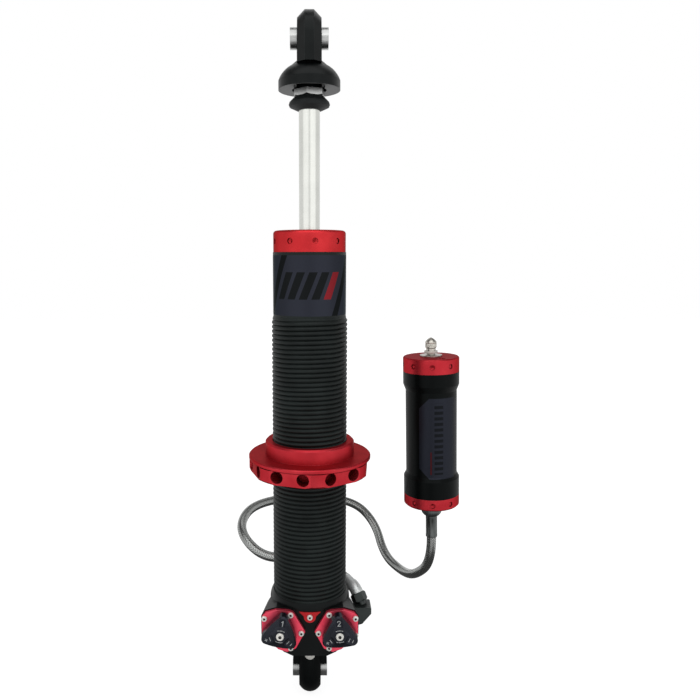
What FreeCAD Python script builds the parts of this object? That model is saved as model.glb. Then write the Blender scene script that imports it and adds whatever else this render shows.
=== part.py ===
import FreeCAD
import Part

import math
import os

# A coilover damper: threaded shock body, valve block with two adjuster modules, spring adjuster nut,
# polished rod with a bell-shaped upper eye, and a remote gas reservoir on a braided hose.
# The origin is the centre of the lower eye, +Z runs up the shock's axis, X is the axis of both eye bolts
# and -Y is the side that the adjuster knobs face. Lengths are millimetres, angles degrees.

Vector = FreeCAD.Vector
X_AXIS = Vector(1, 0, 0)
Y_AXIS = Vector(0, 1, 0)
Z_AXIS = Vector(0, 0, 1)

# Clearances
running_gap = 0.05          # a part that slides or turns in its bore
ball_gap = 0.08             # ball in its race
seat_gap = 0.02             # parts of one body that are fitted together
free_gap = 0.3              # moving parts that only pass each other

# Eyes and their spherical bearings
eye_to_eye = 447.5
eye_radius = 17.6
mount_width = 25.4
bolt_bore = 9.6
upper_eye_width = 16.2
upper_eye_flat = 6.0
upper_eye_chamfer = 5.0
lower_eye_width = 15.8
lower_eye_crown = 4.6
race_radius = 12.7
race_width = 9.9
ball_radius = 9.9
ball_width = 12.7
ball_bore = 12.7
spacer_radius = 7.0
ring_thickness = 1.2
ring_grip = 0.8             # how far a retaining ring reaches into its groove
ring_width = 1.9
ring_opening = 4.0

# Shock body
thread_radius = 26.5
thread_top = 263.5
thread_pitch = 3.175        # eight turns to the inch
thread_depth = 1.15
thread_land = 0.875         # flat left on each crest
tube_step = 1.2             # from the thread's crest to the smooth tube
tube_wall = 3.05
tube_bottom = 57.0
tube_top = 307.4
cap_step = 0.3              # from the smooth tube to the cap
cap_height = 14.6
cap_edge = 2.2
cap_spigot = 11.2
dimple_count = 9
dimple_radius = 2.0
dimple_depth = 2.4
shock_dimple_turn = 8.6
pressure_tube_radius = 19.0
pressure_tube_wall = 1.5
guide_height = 12.0
guide_nose = 4.0
guide_gap = 0.2             # from the gland's spigot to the rod guide
bush_wall = 1.4
bush_height = 10.0
seal_radius = 12.0
seal_height = 5.0
wiper_radius = 11.0
wiper_height = 4.4
o_ring_section = 2.4

# Rod and piston
rod_radius = 7.15
stud_radius = 6.35
stud_length = 19.6
lower_stud_radius = 5.0
piston_height = 14.0
piston_groove = 1.6
piston_band_height = 8.0
stop_sleeve_length = 21.5
washer_radius = 13.0
washer_height = 2.0
shim_count = 3
shim_height = 0.6
shim_radius = 13.0
shim_step = 2.0
piston_nut_flats = 16.0
piston_nut_height = 8.4
stop_sleeve_radius = 10.0
port_count = 6
port_radius = 2.0
port_circle = 10.0

# Bell, jam nut and bump stop below the upper eye
bell_radius = 20.75
bell_rim_height = 5.9
bell_height = 19.6
bell_neck_radius = 7.4
bell_crest_inset = 2.8      # the bell's convex shoulder, from its rim
bell_crest_height = 4.9
bell_waist_height = 9.1
bell_waist_radius = 12.8
bell_bottom = -32.9         # from the centre of the upper eye
pocket_depth = 3.2
pocket_clearance = 0.6
pocket_rim = 1.3            # wall left in front of the pocket
pocket_boss_radius = 8.6    # the boss in the pocket, which the jam nut bears on
jam_nut_sink = 0.3          # how far the jam nut stands in the pocket
stud_hole_spare = 0.5
jam_nut_flats = 19.0
jam_nut_height = 4.6
jam_nut_turn = 20.7
bump_height = 8.8
bump_top_radius = 9.9
bump_radius = 13.85
bump_foot_radius = 8.2
bump_foot_height = 2.4
bump_belly_height = 3.7
bump_brow_height = 5.3
bump_edge = 0.5

# Spring adjuster nut
nut_top = 175.2
nut_collar_wall = 5.15       # of the collar round the thread
nut_collar_height = 10.2
nut_flange_width = 11.85     # from the collar to the flange's edge
nut_flange_height = 12.6
nut_rim_height = 3.0
nut_flats = 7
nut_flat_depth = 2.6
nut_turn = 6.5
nut_chamfer = 1.2
nut_rim_edge = 0.7
nut_bore_bevel = 2.0
nut_bore_gap = 0.1
spanner_radius = 4.3
spanner_depth = 11.0
spanner_drop = 7.2          # from the flange's top to the hole centres

# Valve block
socket_wall = 2.5           # of the block's mouth round the thread
socket_top = 63.4
socket_shoulder = 7.4
socket_shoulder_inset = 0.6
socket_shoulder_drop = 3.0
socket_lip = 0.4            # of the mouth's top edge round the thread
socket_cone_top = 44.0
socket_cone_bottom = 22.0
socket_cone_radius = 14.0
block_front_inset = 1.0     # the flat front, from the round socket
housing_back = -2.0
housing_taper = 0.74        # size of a housing's back end against its front
core_half_width = 18.5
core_bottom = 25.0
core_corner = 3.2
core_back = 14.0
neck_half_width = 12.1
neck_half_depth = 12.7
neck_bottom = 9.2
module_x = 20.5
module_z = 47.0
plate_thickness = 3.0
# Corners of the block's lobe and of the red plate on it, from the module's centre, (outwards, up).
housing_outline = [(-11.3, 9.5), (-9.3, 12.7), (-5.6, 13.9), (3.0, 14.7), (11.0, 12.4), (13.7, 8.2),
                   (13.6, -5.6), (-2.6, -19.3), (-11.2, -16.0), (-17.7, -2.0)]
plate_outline = [(-10.8, 9.0), (-8.9, 12.0), (-5.6, 13.2), (3.0, 13.9), (10.3, 11.9), (13.0, 8.6),
                 (13.1, -5.2), (1.5, -15.2), (-4.5, -17.2), (-10.6, -14.6), (-17.2, -2.2)]
# The plate's screws from the module's centre, (outwards, up).
plate_screws = [(-7.1, 10.5), (11.3, 7.9), (-14.5, -3.1), (-7.1, -14.0), (11.3, -4.5)]
plate_screw_radius = 1.5
plate_screw_length = 6.5
screw_head_radius = 2.0
screw_head_height = 1.4
cartridge_radius = 8.0
cartridge_length = 24.0
cartridge_floor = 4.0
cartridge_bore = 6.0
stem_radius = 3.0
stem_length = 26.0
stem_point = 3.0
stem_neck = 6.5             # how far the stem stands in its knob
stem_point_radius = 0.6
module_ring_section = 1.5
module_ring_place = 3.0     # from the cartridge's front

# Adjuster knobs
knob_gap = 1.7              # clears the plate's screw heads
knob_rim = 5.8              # height of the lobes' side wall
knob_bevel_top = 6.8
knob_slope_top = 7.6        # where the sloping faces meet the hub
knob_height = 8.2
knob_lobe_circle = 9.6
knob_lobe_radius = 3.9
knob_bevel = 1.0            # how far the bevel draws the lobes in
knob_waist_circle = 4.4     # lobes of the body where the slope ends
knob_waist_lobe = 2.9
knob_hub_flats = 11.6
knob_hub_face = 9.0         # width over flats of the hub's front face
knob_lobe_half = 60.0       # half the turn of each round lobe
knob_waist_radius = 50.0    # shallow curve between two lobes
knob_pad_width = 5.0        # sunk pad on each lobe
knob_pad_inner = 6.4
knob_pad_outer = 11.7
knob_pad_sink = 0.35
knob_screw_radius = 2.8
knob_screw_height = 1.0
rebound_knob_turn = -11.5
compression_knob_turn = 4.0

# Plugs on the front of the block
plug_half_width = 7.6
plug_drop = 4.9             # from the socket's top to the plug's top
plug_screw_drop = 3.5
plug_boss_radius = 4.2
plug_shield_half = 5.4      # half width of the raised middle's top
plug_thickness = 1.6
plug_wing_thickness = 0.9
bleed_screw_z = 19.6
bleed_screw_radius = 3.6
bleed_screw_height = 1.6
bleed_screw_sink = 0.9

# Reservoir
reservoir_x = 99.0
reservoir_y = 53.0
reservoir_lean = 1.5        # of its top towards the shock, about the hose's end
reservoir_bottom = 108.0
reservoir_tube_radius = 19.95
reservoir_end_radius = 21.8
reservoir_bore = 17.5
bottom_cap_height = 9.0
lower_band_top = 131.0
lower_band_chamfer = 3.4
upper_band_bottom = 205.7
upper_band_chamfer = 4.8
tube_joint_z = 215.6
top_cap_height = 11.6
reservoir_cap_edge = 0.9
hose_port_radius = 2.4
reservoir_spigot = 9.0
reservoir_dimple_turn = -7.3
spanner_hole_radius = 2.5
spanner_hole_depth = 3.0
spanner_hole_x = 6.0
spanner_hole_y = -15.5
float_height = 15.0
float_bottom = 150.0
float_cup = 9.0
float_wall = 3.5
float_groove_place = 2.0
fill_washer_radius = 8.6
fill_washer_height = 1.0
fill_neck_radius = 3.0
fill_base_radius = 3.4
fill_base_height = 1.5
fill_foot_flats = 9.2
fill_foot_height = 2.0
fill_collar_radius = 3.8
fill_cap_radius = 4.5
fill_cap_z = 233.8
fill_cap_height = 8.0
fill_cap_wall = 4.5         # height of the cap's straight side
fill_cap_brow = (2.9, 6.5)  # a point of its round top, (radius, height)
fill_cap_depth = 4.7
fill_valve_reach = 4.4      # how far the valve stands in its cap
fill_cap_tip = 0.9
fill_bore = 1.6

# Hose, its route and its end fittings
hose_radius = 3.8
hose_route = [(27.4, 18.8, 60.0), (15.9, 33.0, 65.7), (-7.0, 40.5, 69.6), (-35.6, 41.0, 64.8),
              (-57.5, 56.0, 80.1), (-55.4, 84.0, 88.4), (-36.7, 110.5, 88.7), (-0.5, 134.0, 83.1),
              (41.8, 149.0, 73.9), (62.2, 141.5, 54.5), (67.8, 116.0, 34.2), (81.5, 92.5, 29.3),
              (88.6, 66.3, 38.9), (99.576, 53.0, 57.0), (99.0, 53.0, 79.0)]
hose_corner_share = 0.45    # of the shorter run beside a corner, used by the corner's arc
crimp_length = 7.5          # of the socket's crimped part
crimp_radius = 4.2
bend_tangent = 4.0          # from the bend's ends to its corner
bend_radius = 4.6           # of the bent neck's section
swivel_direction = (-0.36, 0.42, 0.83)
swivel_flats = 10.2
swivel_length = 6.5
swivel_chamfer = 0.9
stub_radius = 3.2
stub_length = 4.0
elbow_front = -3.0
elbow_back = 10.0
elbow_gap = 3.6             # from the socket's side to the elbow
elbow_width = 12.8
elbow_top = 47.4
elbow_shoulder = 42.7
elbow_toe = 6.2             # from the elbow's inner side to its toe
elbow_toe_z = 34.8
elbow_bottom = 33.0
elbow_edge = 0.8
port_z = 38.0
port_boss_radius = 5.0
ferrule_radius = 4.6
ferrule_top = 95.0
tailpiece_radius = 8.3
tailpiece_waist = 5.6
tailpiece_foot = 0.5
tailpiece_dome_inset = 0.9
tailpiece_dome_height = 4.4
tailpiece_collar = 4.0

# Places worked out from the sizes above
tube_radius = thread_radius - tube_step
tube_bore = tube_radius - tube_wall
cap_radius = tube_radius - cap_step
nut_collar_radius = thread_radius + nut_collar_wall
nut_flange_radius = nut_collar_radius + nut_flange_width
socket_radius = thread_radius + socket_wall
block_front = block_front_inset - socket_radius
plug_top = socket_top - plug_drop
plug_screw_z = plug_top - plug_screw_drop
elbow_left = socket_radius + elbow_gap
elbow_right = elbow_left + elbow_width
upper_eye_z = eye_to_eye
cap_top = tube_top + cap_height
cap_spigot_bottom = tube_top - cap_spigot
guide_top = cap_spigot_bottom - guide_gap
guide_shoulder = guide_top - guide_height
guide_bottom = guide_shoulder - guide_nose
bell_rim_z = upper_eye_z + bell_bottom
jam_nut_top = bell_rim_z + jam_nut_sink
jam_nut_bottom = jam_nut_top - jam_nut_height
bump_bottom = jam_nut_bottom - bump_height
stop_sleeve_top = guide_bottom - free_gap
rod_shoulder = stop_sleeve_top - stop_sleeve_length
piston_top = rod_shoulder - washer_height - shim_count * shim_height
piston_bottom = piston_top - piston_height
piston_nut_top = piston_bottom - shim_count * shim_height
piston_radius = pressure_tube_radius - pressure_tube_wall - 4 * running_gap
nut_flange_top = nut_top - nut_collar_height
nut_flange_bottom = nut_flange_top - nut_flange_height
plate_front = block_front - plate_thickness
knob_back = plate_front - knob_gap
knob_front = knob_back - knob_height
reservoir_axis = Vector(reservoir_x, reservoir_y, 0)
reservoir_top = tube_joint_z + top_cap_height


def cylinder(radius, low, high, foot=Vector(0, 0, 0)):
    """An upright cylinder from height low to height high."""
    return Part.makeCylinder(radius, high - low, foot + Vector(0, 0, low), Z_AXIS)


def tube(outer, inner, low, high, foot=Vector(0, 0, 0)):
    """An upright ring or tube."""
    return cylinder(outer, low, high, foot).cut(bore(inner, low, high, foot))


def bar(radius, start, direction, length):
    """A round bar from a point along a direction."""
    return Part.makeCylinder(radius, length, start, direction)


def bore(radius, low, high, foot=Vector(0, 0, 0)):
    """An upright drill that runs past both ends."""
    return cylinder(radius, low - 1, high + 1, foot)


def lathe(profile, foot=Vector(0, 0, 0)):
    """A solid turned about the upright axis through foot.

    The profile's corners are (radius, height). One with a third entry starts an arc through that point."""
    edges = []
    for first, second in zip(profile, profile[1:] + profile[:1]):
        if len(first) == 3:
            edges.append(Part.Arc(point_of(first), point_of(first[2]), point_of(second)).toShape())
        elif first[:2] != second[:2]:
            edges.append(Part.LineSegment(point_of(first), point_of(second)).toShape())
    face = Part.Face(Part.Wire(edges))
    solid = face.revolve(Vector(0, 0, 0), Z_AXIS, 360)
    solid.translate(foot)
    return solid


def point_of(corner):
    """The corner (radius, height) as a point of the turning plane."""
    return Vector(corner[0], 0, corner[1])


def hexagon(flats, low, high, turn=0.0):
    """An upright hexagonal bar."""
    corner = flats / math.sqrt(3)
    points = []
    for side in range(7):
        angle = math.radians(60 * side + turn)
        points.append(Vector(corner * math.cos(angle), corner * math.sin(angle), low))
    return Part.Face(Part.makePolygon(points)).extrude(Vector(0, 0, high - low))


def along(shape, start, direction):
    """An upright shape stood at the origin, laid along a direction from a start point."""
    turn = FreeCAD.Rotation(Z_AXIS, direction)
    moved = shape.copy()
    moved.Placement = FreeCAD.Placement(start, turn).multiply(moved.Placement)
    return moved


def extrude_front(points, front, back):
    """A plate whose outline is listed as (x, z), from y = front to y = back."""
    corners = [Vector(x, front, z) for x, z in points + points[:1]]
    return Part.Face(Part.makePolygon(corners)).extrude(Vector(0, back - front, 0))


def cap_screw(head_radius, head_height, shank_radius, shank_length):
    """A screw with its head above the origin and its shank below."""
    head = cylinder(head_radius, 0, head_height)
    return head.fuse(cylinder(shank_radius, -shank_length, 0)).removeSplitter()


# Eyes and bearings


def eye_section(width, crown):
    """Half of the eye's cross-section, from its axis out to the crowned rim: edges in the XY plane."""
    half = width / 2
    shoulder = eye_radius - crown["drop"]
    left = Vector(-half, shoulder, 0)
    right = Vector(half, shoulder, 0)
    if crown["flat"] == 0:
        rim = [Part.Arc(left, Vector(0, eye_radius, 0), right).toShape()]
    else:
        left_top = Vector(-crown["flat"] / 2, eye_radius, 0)
        right_top = Vector(crown["flat"] / 2, eye_radius, 0)
        rim = [Part.LineSegment(left, left_top).toShape(),
               Part.LineSegment(left_top, right_top).toShape(),
               Part.LineSegment(right_top, right).toShape()]
    foot_left = Vector(-half, 0, 0)
    foot_right = Vector(half, 0, 0)
    sides = [Part.LineSegment(foot_left, left).toShape(),
             Part.LineSegment(right, foot_right).toShape(),
             Part.LineSegment(foot_right, foot_left).toShape()]
    return Part.Face(Part.Wire(Part.__sortEdges__(rim + sides)))


def eye_lug(width, crown, length, upwards):
    """A rounded lug about the bolt axis whose straight part reaches the given length up or down."""
    section = eye_section(width, crown)
    other = section.mirror(Vector(0, 0, 0), Y_AXIS)
    turned = section.revolve(Vector(0, 0, 0), X_AXIS, 360)
    reach = Vector(0, 0, length if upwards else -length)
    return turned.fuse([section.extrude(reach), other.extrude(reach)]).removeSplitter()


def bearing_bore(width):
    """What is cut from an eye for its race and the two retaining rings."""
    bore = bar(race_radius, Vector(-width, 0, 0), X_AXIS, 2 * width)
    for side in (-1, 1):
        start = race_width / 2 if side > 0 else -race_width / 2 - ring_thickness
        bore = bore.fuse(bar(race_radius + ring_grip, Vector(start, 0, 0), X_AXIS, ring_thickness))
    return bore


def bearing_race():
    """Outer race with its spherical inside."""
    race = bar(race_radius - seat_gap, Vector(-race_width / 2, 0, 0), X_AXIS, race_width)
    return race.cut(Part.makeSphere(ball_radius + ball_gap))


def bearing_ball():
    """Ball, flat on both sides and bored through."""
    ball = Part.makeSphere(ball_radius)
    ball = ball.common(bar(ball_radius, Vector(-ball_width / 2, 0, 0), X_AXIS, ball_width))
    return ball.cut(bar(ball_bore / 2, Vector(-ball_width, 0, 0), X_AXIS, 2 * ball_width))


def bearing_spacers():
    """Two stepped spacers, one from each side, that carry the mounting bolt."""
    spacers = []
    for side in (-1, 1):
        outwards = Vector(side, 0, 0)
        collar = bar(spacer_radius, outwards * (ball_width / 2), outwards, (mount_width - ball_width) / 2)
        spigot = bar(ball_bore / 2 - seat_gap, outwards * free_gap, outwards, ball_width / 2)
        bore = bar(bolt_bore / 2, Vector(0, 0, 0), outwards, mount_width)
        spacers.append(collar.fuse(spigot).cut(bore).removeSplitter())
    return Part.makeCompound(spacers)


def retaining_rings():
    """Two open spring rings that hold the race in its eye."""
    rings = []
    outer = race_radius + ring_grip - seat_gap
    for side in (-1, 1):
        start = Vector(side * (race_width / 2 + seat_gap), 0, 0)
        direction = Vector(side, 0, 0)
        thickness = ring_thickness - 2 * seat_gap
        ring = bar(outer, start, direction, thickness)
        ring = ring.cut(bar(outer - ring_width, start, direction, thickness))
        corner = Vector(start.x - thickness, -ring_opening / 2, -outer - 1)
        rings.append(ring.cut(Part.makeBox(2 * thickness, ring_opening, outer + 1, corner)))
    return Part.makeCompound(rings)


def raised(shape, height):
    """The shape lifted along the shock's axis."""
    moved = shape.copy()
    moved.translate(Vector(0, 0, height))
    return moved


# Valve block


def module_points(side, outline):
    """The outline's corners for the module on one side, as (x, z)."""
    return [(side * (module_x + x), module_z + z) for x, z in outline]


def module_centre(side, y):
    """A point on a module's axis."""
    return Vector(side * module_x, y, module_z)


def housing(side):
    """The block's lobe behind one module plate, drawn in towards the back."""
    corners = module_points(side, housing_outline + housing_outline[:1])
    outline = Part.makePolygon([Vector(x, block_front, z) for x, z in corners])
    back = outline.copy()
    back.scale(housing_taper, module_centre(side, block_front))
    back.translate(Vector(0, housing_back - block_front, 0))
    return Part.makeLoft([outline, back], True, True)


def base_body():
    """Valve block with the tube's socket above and the lower eye below, machined from one billet."""
    shoulder = (socket_radius - socket_shoulder_inset, socket_top - socket_shoulder_drop)
    socket = lathe([(0, socket_cone_bottom), (socket_cone_radius, socket_cone_bottom),
                    (socket_radius, socket_cone_top), (socket_radius, socket_top - socket_shoulder, shoulder),
                    (thread_radius + socket_lip, socket_top), (0, socket_top)])
    flat = Part.makeBox(2 * socket_radius, socket_radius, plug_top - socket_cone_bottom,
                        Vector(-socket_radius, block_front - socket_radius, socket_cone_bottom))
    body = socket.cut(flat).fuse([housing(-1), housing(1)])
    core = [(-core_half_width, plug_top), (core_half_width, plug_top),
            (core_half_width, core_bottom + core_corner), (neck_half_width, core_bottom),
            (-neck_half_width, core_bottom), (-core_half_width, core_bottom + core_corner)]
    body = body.fuse(extrude_front(core, block_front, core_back))
    neck = Part.makeBox(2 * neck_half_width, 2 * neck_half_depth, core_bottom + core_corner - neck_bottom,
                        Vector(-neck_half_width, -neck_half_depth, neck_bottom))
    body = body.fuse(neck)
    lug = eye_lug(lower_eye_width, {"flat": 0, "drop": lower_eye_crown}, core_bottom + core_corner, True)
    lug = lug.cut(bar(bleed_screw_radius + free_gap, Vector(0, -eye_radius - 1, bleed_screw_z), Y_AXIS,
                      1 + bleed_screw_sink))
    body = body.fuse(lug)
    body = body.fuse(bar(port_boss_radius, Vector(core_half_width, (elbow_front + elbow_back) / 2, port_z),
                         X_AXIS, elbow_left - core_half_width))
    body = body.cut(cylinder(thread_radius + seat_gap, tube_bottom - seat_gap, socket_top + 1))
    body = body.cut(bearing_bore(lower_eye_width))
    for side in (-1, 1):
        body = body.cut(bar(cartridge_radius + seat_gap, module_centre(side, block_front), Y_AXIS,
                            cartridge_length + seat_gap))
        for x, z in module_points(side, plate_screws):
            body = body.cut(bar(plate_screw_radius, Vector(x, block_front, z), Y_AXIS,
                                plate_screw_length - plate_thickness + 1))
    body = body.cut(bar(plate_screw_radius, Vector(0, block_front, plug_screw_z), Y_AXIS, plate_screw_length))
    body = body.cut(bar(plate_screw_radius, Vector(0, -eye_radius, bleed_screw_z), Y_AXIS,
                        plate_screw_length + bleed_screw_sink + 1))
    return body.removeSplitter()


def module_plate(side):
    """Red cover plate of one adjuster module."""
    plate = extrude_front(module_points(side, plate_outline), plate_front, block_front)
    stem_hole = bar(stem_radius + 2 * running_gap, module_centre(side, plate_front), Y_AXIS, plate_thickness)
    plate = plate.cut(stem_hole)
    for x, z in module_points(side, plate_screws):
        start = Vector(x, plate_front, z)
        plate = plate.cut(bar(plate_screw_radius + seat_gap, start, Y_AXIS, plate_thickness))
    return plate


def module_screws(side):
    """The five screws of one module plate."""
    screw = cap_screw(screw_head_radius, screw_head_height, plate_screw_radius - seat_gap, plate_screw_length)
    placed = [along(screw, Vector(x, plate_front, z), -Y_AXIS) for x, z in module_points(side, plate_screws)]
    return Part.makeCompound(placed)


def valve_cartridge(side):
    """Sleeve that holds the valve, behind the module plate."""
    start = module_centre(side, block_front + seat_gap)
    sleeve = bar(cartridge_radius, start, Y_AXIS, cartridge_length - seat_gap)
    depth = cartridge_length - cartridge_floor
    sleeve = sleeve.cut(bar(cartridge_bore / 2 + running_gap, start, Y_AXIS, depth))
    groove_start = start + Vector(0, module_ring_place, 0)
    groove_width = 2 * module_ring_section
    groove = bar(cartridge_radius + 1, groove_start, Y_AXIS, groove_width)
    groove = groove.cut(bar(cartridge_radius - module_ring_section, groove_start, Y_AXIS, groove_width))
    return sleeve.cut(groove)


def cartridge_ring(side):
    """O-ring in the cartridge's groove."""
    section = module_ring_section / 2
    centre = module_centre(side, block_front + seat_gap + module_ring_place + module_ring_section)
    return Part.makeTorus(cartridge_radius - section, section - seat_gap, centre, Y_AXIS)


def valve_stem(side):
    """Needle stem that the knob turns."""
    stem_front = knob_back - stem_neck
    stem = bar(stem_radius, module_centre(side, stem_front), Y_AXIS, stem_length)
    tip = Part.makeCone(stem_radius, stem_point_radius, stem_point,
                        module_centre(side, stem_front + stem_length), Y_AXIS)
    return stem.fuse(tip).removeSplitter()


def knob_outline(lobe_circle, lobe_radius, y):
    """Closed outline of the three-lobed knob: a round lobe at each corner and shallow arcs between them."""
    lobes = []
    for lobe in range(3):
        middle = math.radians(90 + 120 * lobe)
        centre = Vector(lobe_circle * math.cos(middle), y, lobe_circle * math.sin(middle))
        ends = []
        for offset in (-knob_lobe_half, 0, knob_lobe_half):
            angle = middle + math.radians(offset)
            ends.append(centre + Vector(lobe_radius * math.cos(angle), 0, lobe_radius * math.sin(angle)))
        lobes.append(ends)
    edges = []
    for lobe in range(3):
        first, top, last = lobes[lobe]
        following = lobes[(lobe + 1) % 3][0]
        edges.append(Part.Arc(first, top, last).toShape())
        half = (following - last).Length / 2
        rise = knob_waist_radius - math.sqrt(knob_waist_radius ** 2 - half ** 2)
        middle = (last + following) * 0.5
        outwards = Vector(middle.x, 0, middle.z)
        outwards.normalize()
        edges.append(Part.Arc(last, middle + outwards * rise, following).toShape())
    return Part.Wire(edges)


def knob_pad(turn):
    """What is cut from one lobe for its sunk pad, along the lobe's sloping face."""
    slope = math.atan2(knob_slope_top - knob_bevel_top,
                       knob_lobe_circle + knob_lobe_radius - knob_bevel - knob_waist_circle - knob_waist_lobe)
    length = (knob_pad_outer - knob_pad_inner) / math.cos(slope)
    pad = Part.makeBox(knob_pad_width, knob_height, length, Vector(-knob_pad_width / 2, -knob_height, 0))
    pad.rotate(Vector(0, 0, 0), X_AXIS, -math.degrees(slope))
    reach = knob_lobe_circle + knob_lobe_radius - knob_bevel - knob_pad_inner
    pad.translate(Vector(0, -knob_bevel_top - reach * math.tan(slope) + knob_pad_sink, knob_pad_inner))
    pad.rotate(Vector(0, 0, 0), Y_AXIS, turn)
    return pad


def knob_hub():
    """The knob's six-sided hub with its drawn-in front face."""
    base = hexagon(knob_hub_flats, knob_rim, knob_slope_top)
    faces = []
    for flats, height in ((knob_hub_flats, knob_slope_top), (knob_hub_face, knob_height)):
        corner = flats / math.sqrt(3)
        spokes = [math.radians(60 * place) for place in range(7)]
        faces.append(Part.makePolygon([Vector(corner * math.cos(spoke), corner * math.sin(spoke), height)
                                       for spoke in spokes]))
    top = Part.makeLoft(faces, True, True)
    return along(base.fuse(top), Vector(0, 0, 0), -Y_AXIS)


def knob(side, turn):
    """Three-lobed knob: straight side, bevel, faces that slope up to a six-sided hub, sunk pads."""
    foot = knob_outline(knob_lobe_circle, knob_lobe_radius, 0)
    body = Part.Face(foot).extrude(Vector(0, -knob_rim, 0))
    side_top = knob_outline(knob_lobe_circle, knob_lobe_radius, -knob_rim)
    bevel_top = knob_outline(knob_lobe_circle, knob_lobe_radius - knob_bevel, -knob_bevel_top)
    slope_top = knob_outline(knob_waist_circle, knob_waist_lobe, -knob_slope_top)
    body = body.fuse([Part.makeLoft([side_top, bevel_top], True, True),
                      Part.makeLoft([bevel_top, slope_top], True, True)])
    for lobe in range(3):
        body = body.cut(knob_pad(120 * lobe))
    body = body.fuse(knob_hub()).removeSplitter()
    body = body.cut(bar(stem_radius + seat_gap, Vector(0, 0, 0), -Y_AXIS, stem_neck))
    body = body.cut(bar(plate_screw_radius, Vector(0, 0, 0), -Y_AXIS, knob_height + 1))
    body.rotate(Vector(0, 0, 0), Y_AXIS, -turn)
    body.translate(module_centre(side, knob_back))
    return body


def knob_screw(side):
    """Screw through the knob into its stem."""
    screw = cap_screw(knob_screw_radius, knob_screw_height, plate_screw_radius - seat_gap,
                      knob_height - stem_neck)
    return along(screw, module_centre(side, knob_front), -Y_AXIS)


def center_plug():
    """Red cover between the modules: a raised shield about its screw, with a lower wing on each side."""
    outline = [(-plug_half_width, plug_top), (plug_half_width, plug_top),
               (plug_boss_radius, plug_screw_z), (-plug_boss_radius, plug_screw_z)]
    front = block_front - plug_thickness
    plate = extrude_front(outline, block_front - plug_wing_thickness, block_front)
    shield = [(-plug_shield_half, plug_top), (plug_shield_half, plug_top),
              (plug_boss_radius, plug_screw_z), (-plug_boss_radius, plug_screw_z)]
    plate = plate.fuse(extrude_front(shield, front, block_front))
    plate = plate.fuse(bar(plug_boss_radius, Vector(0, front, plug_screw_z), Y_AXIS, plug_thickness))
    above = Part.makeBox(2 * plug_half_width, plug_thickness, plug_boss_radius,
                         Vector(-plug_half_width, front, plug_top))
    plate = plate.cut(above)
    hole_start = Vector(0, front, plug_screw_z)
    plate = plate.cut(bar(plate_screw_radius + seat_gap, hole_start, Y_AXIS, plug_thickness))
    return plate.removeSplitter()


def center_plug_screw():
    """Screw of the cover between the modules."""
    screw = cap_screw(screw_head_radius, screw_head_height, plate_screw_radius - seat_gap, plate_screw_length)
    return along(screw, Vector(0, block_front - plug_thickness, plug_screw_z), -Y_AXIS)


def bleed_screw():
    """Bleed screw, spot-faced into the front of the lower lug."""
    screw = cap_screw(bleed_screw_radius, bleed_screw_height, plate_screw_radius - seat_gap,
                      plate_screw_length)
    return along(screw, Vector(0, -eye_radius + bleed_screw_sink, bleed_screw_z), -Y_AXIS)


# Shock body


def shock_tube():
    """Outer tube with a ring groove for each turn of its thread, and a smooth end under the cap."""
    outline = [(tube_bore, tube_bottom)]
    turns = int((thread_top - tube_bottom) / thread_pitch)
    for turn in range(turns):
        foot = tube_bottom + turn * thread_pitch
        groove = foot + (thread_pitch + thread_land) / 2
        outline += [(thread_radius, foot), (thread_radius, foot + thread_land),
                    (thread_radius - thread_depth, groove)]
    outline += [(thread_radius, tube_bottom + turns * thread_pitch), (thread_radius, thread_top),
                (tube_radius, thread_top), (tube_radius, tube_top), (tube_bore, tube_top)]
    return lathe(outline)


def pressure_tube():
    """Inner tube that the piston runs in."""
    return tube(pressure_tube_radius, pressure_tube_radius - pressure_tube_wall, tube_bottom, guide_shoulder)


def dimples(radius, height, turn, foot=Vector(0, 0, 0)):
    """The ring of drilled spanner dimples in a cap."""
    drills = []
    for step in range(dimple_count):
        angle = math.radians(turn - 90 + 360 * step / dimple_count)
        inwards = Vector(-math.cos(angle), -math.sin(angle), 0)
        start = foot + Vector(0, 0, height) - inwards * (radius + 1)
        drills.append(bar(dimple_radius, start, inwards, dimple_depth))
        point = start + inwards * dimple_depth
        drills.append(Part.makeCone(dimple_radius, 0, dimple_radius / 2, point, inwards))
    return Part.makeCompound(drills)


def top_cap():
    """Red gland cap screwed into the top of the tube."""
    inset = cap_edge * (1 - math.sqrt(0.5))
    cap = lathe([(0, cap_spigot_bottom), (tube_bore - seat_gap, cap_spigot_bottom),
                 (tube_bore - seat_gap, tube_top), (cap_radius, tube_top),
                 (cap_radius, cap_top - cap_edge, (cap_radius - inset, cap_top - inset)),
                 (cap_radius - cap_edge, cap_top), (0, cap_top)])
    cap = cap.cut(bore(rod_radius + free_gap, cap_spigot_bottom, cap_top))
    cap = cap.cut(cylinder(wiper_radius + seat_gap, cap_top - wiper_height, cap_top))
    return cap.cut(dimples(cap_radius, tube_top + cap_height / 2, shock_dimple_turn))


def rod_wiper():
    """Lip seal in the cap's mouth."""
    return tube(wiper_radius, rod_radius + running_gap, cap_top - wiper_height, cap_top - free_gap)


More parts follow.
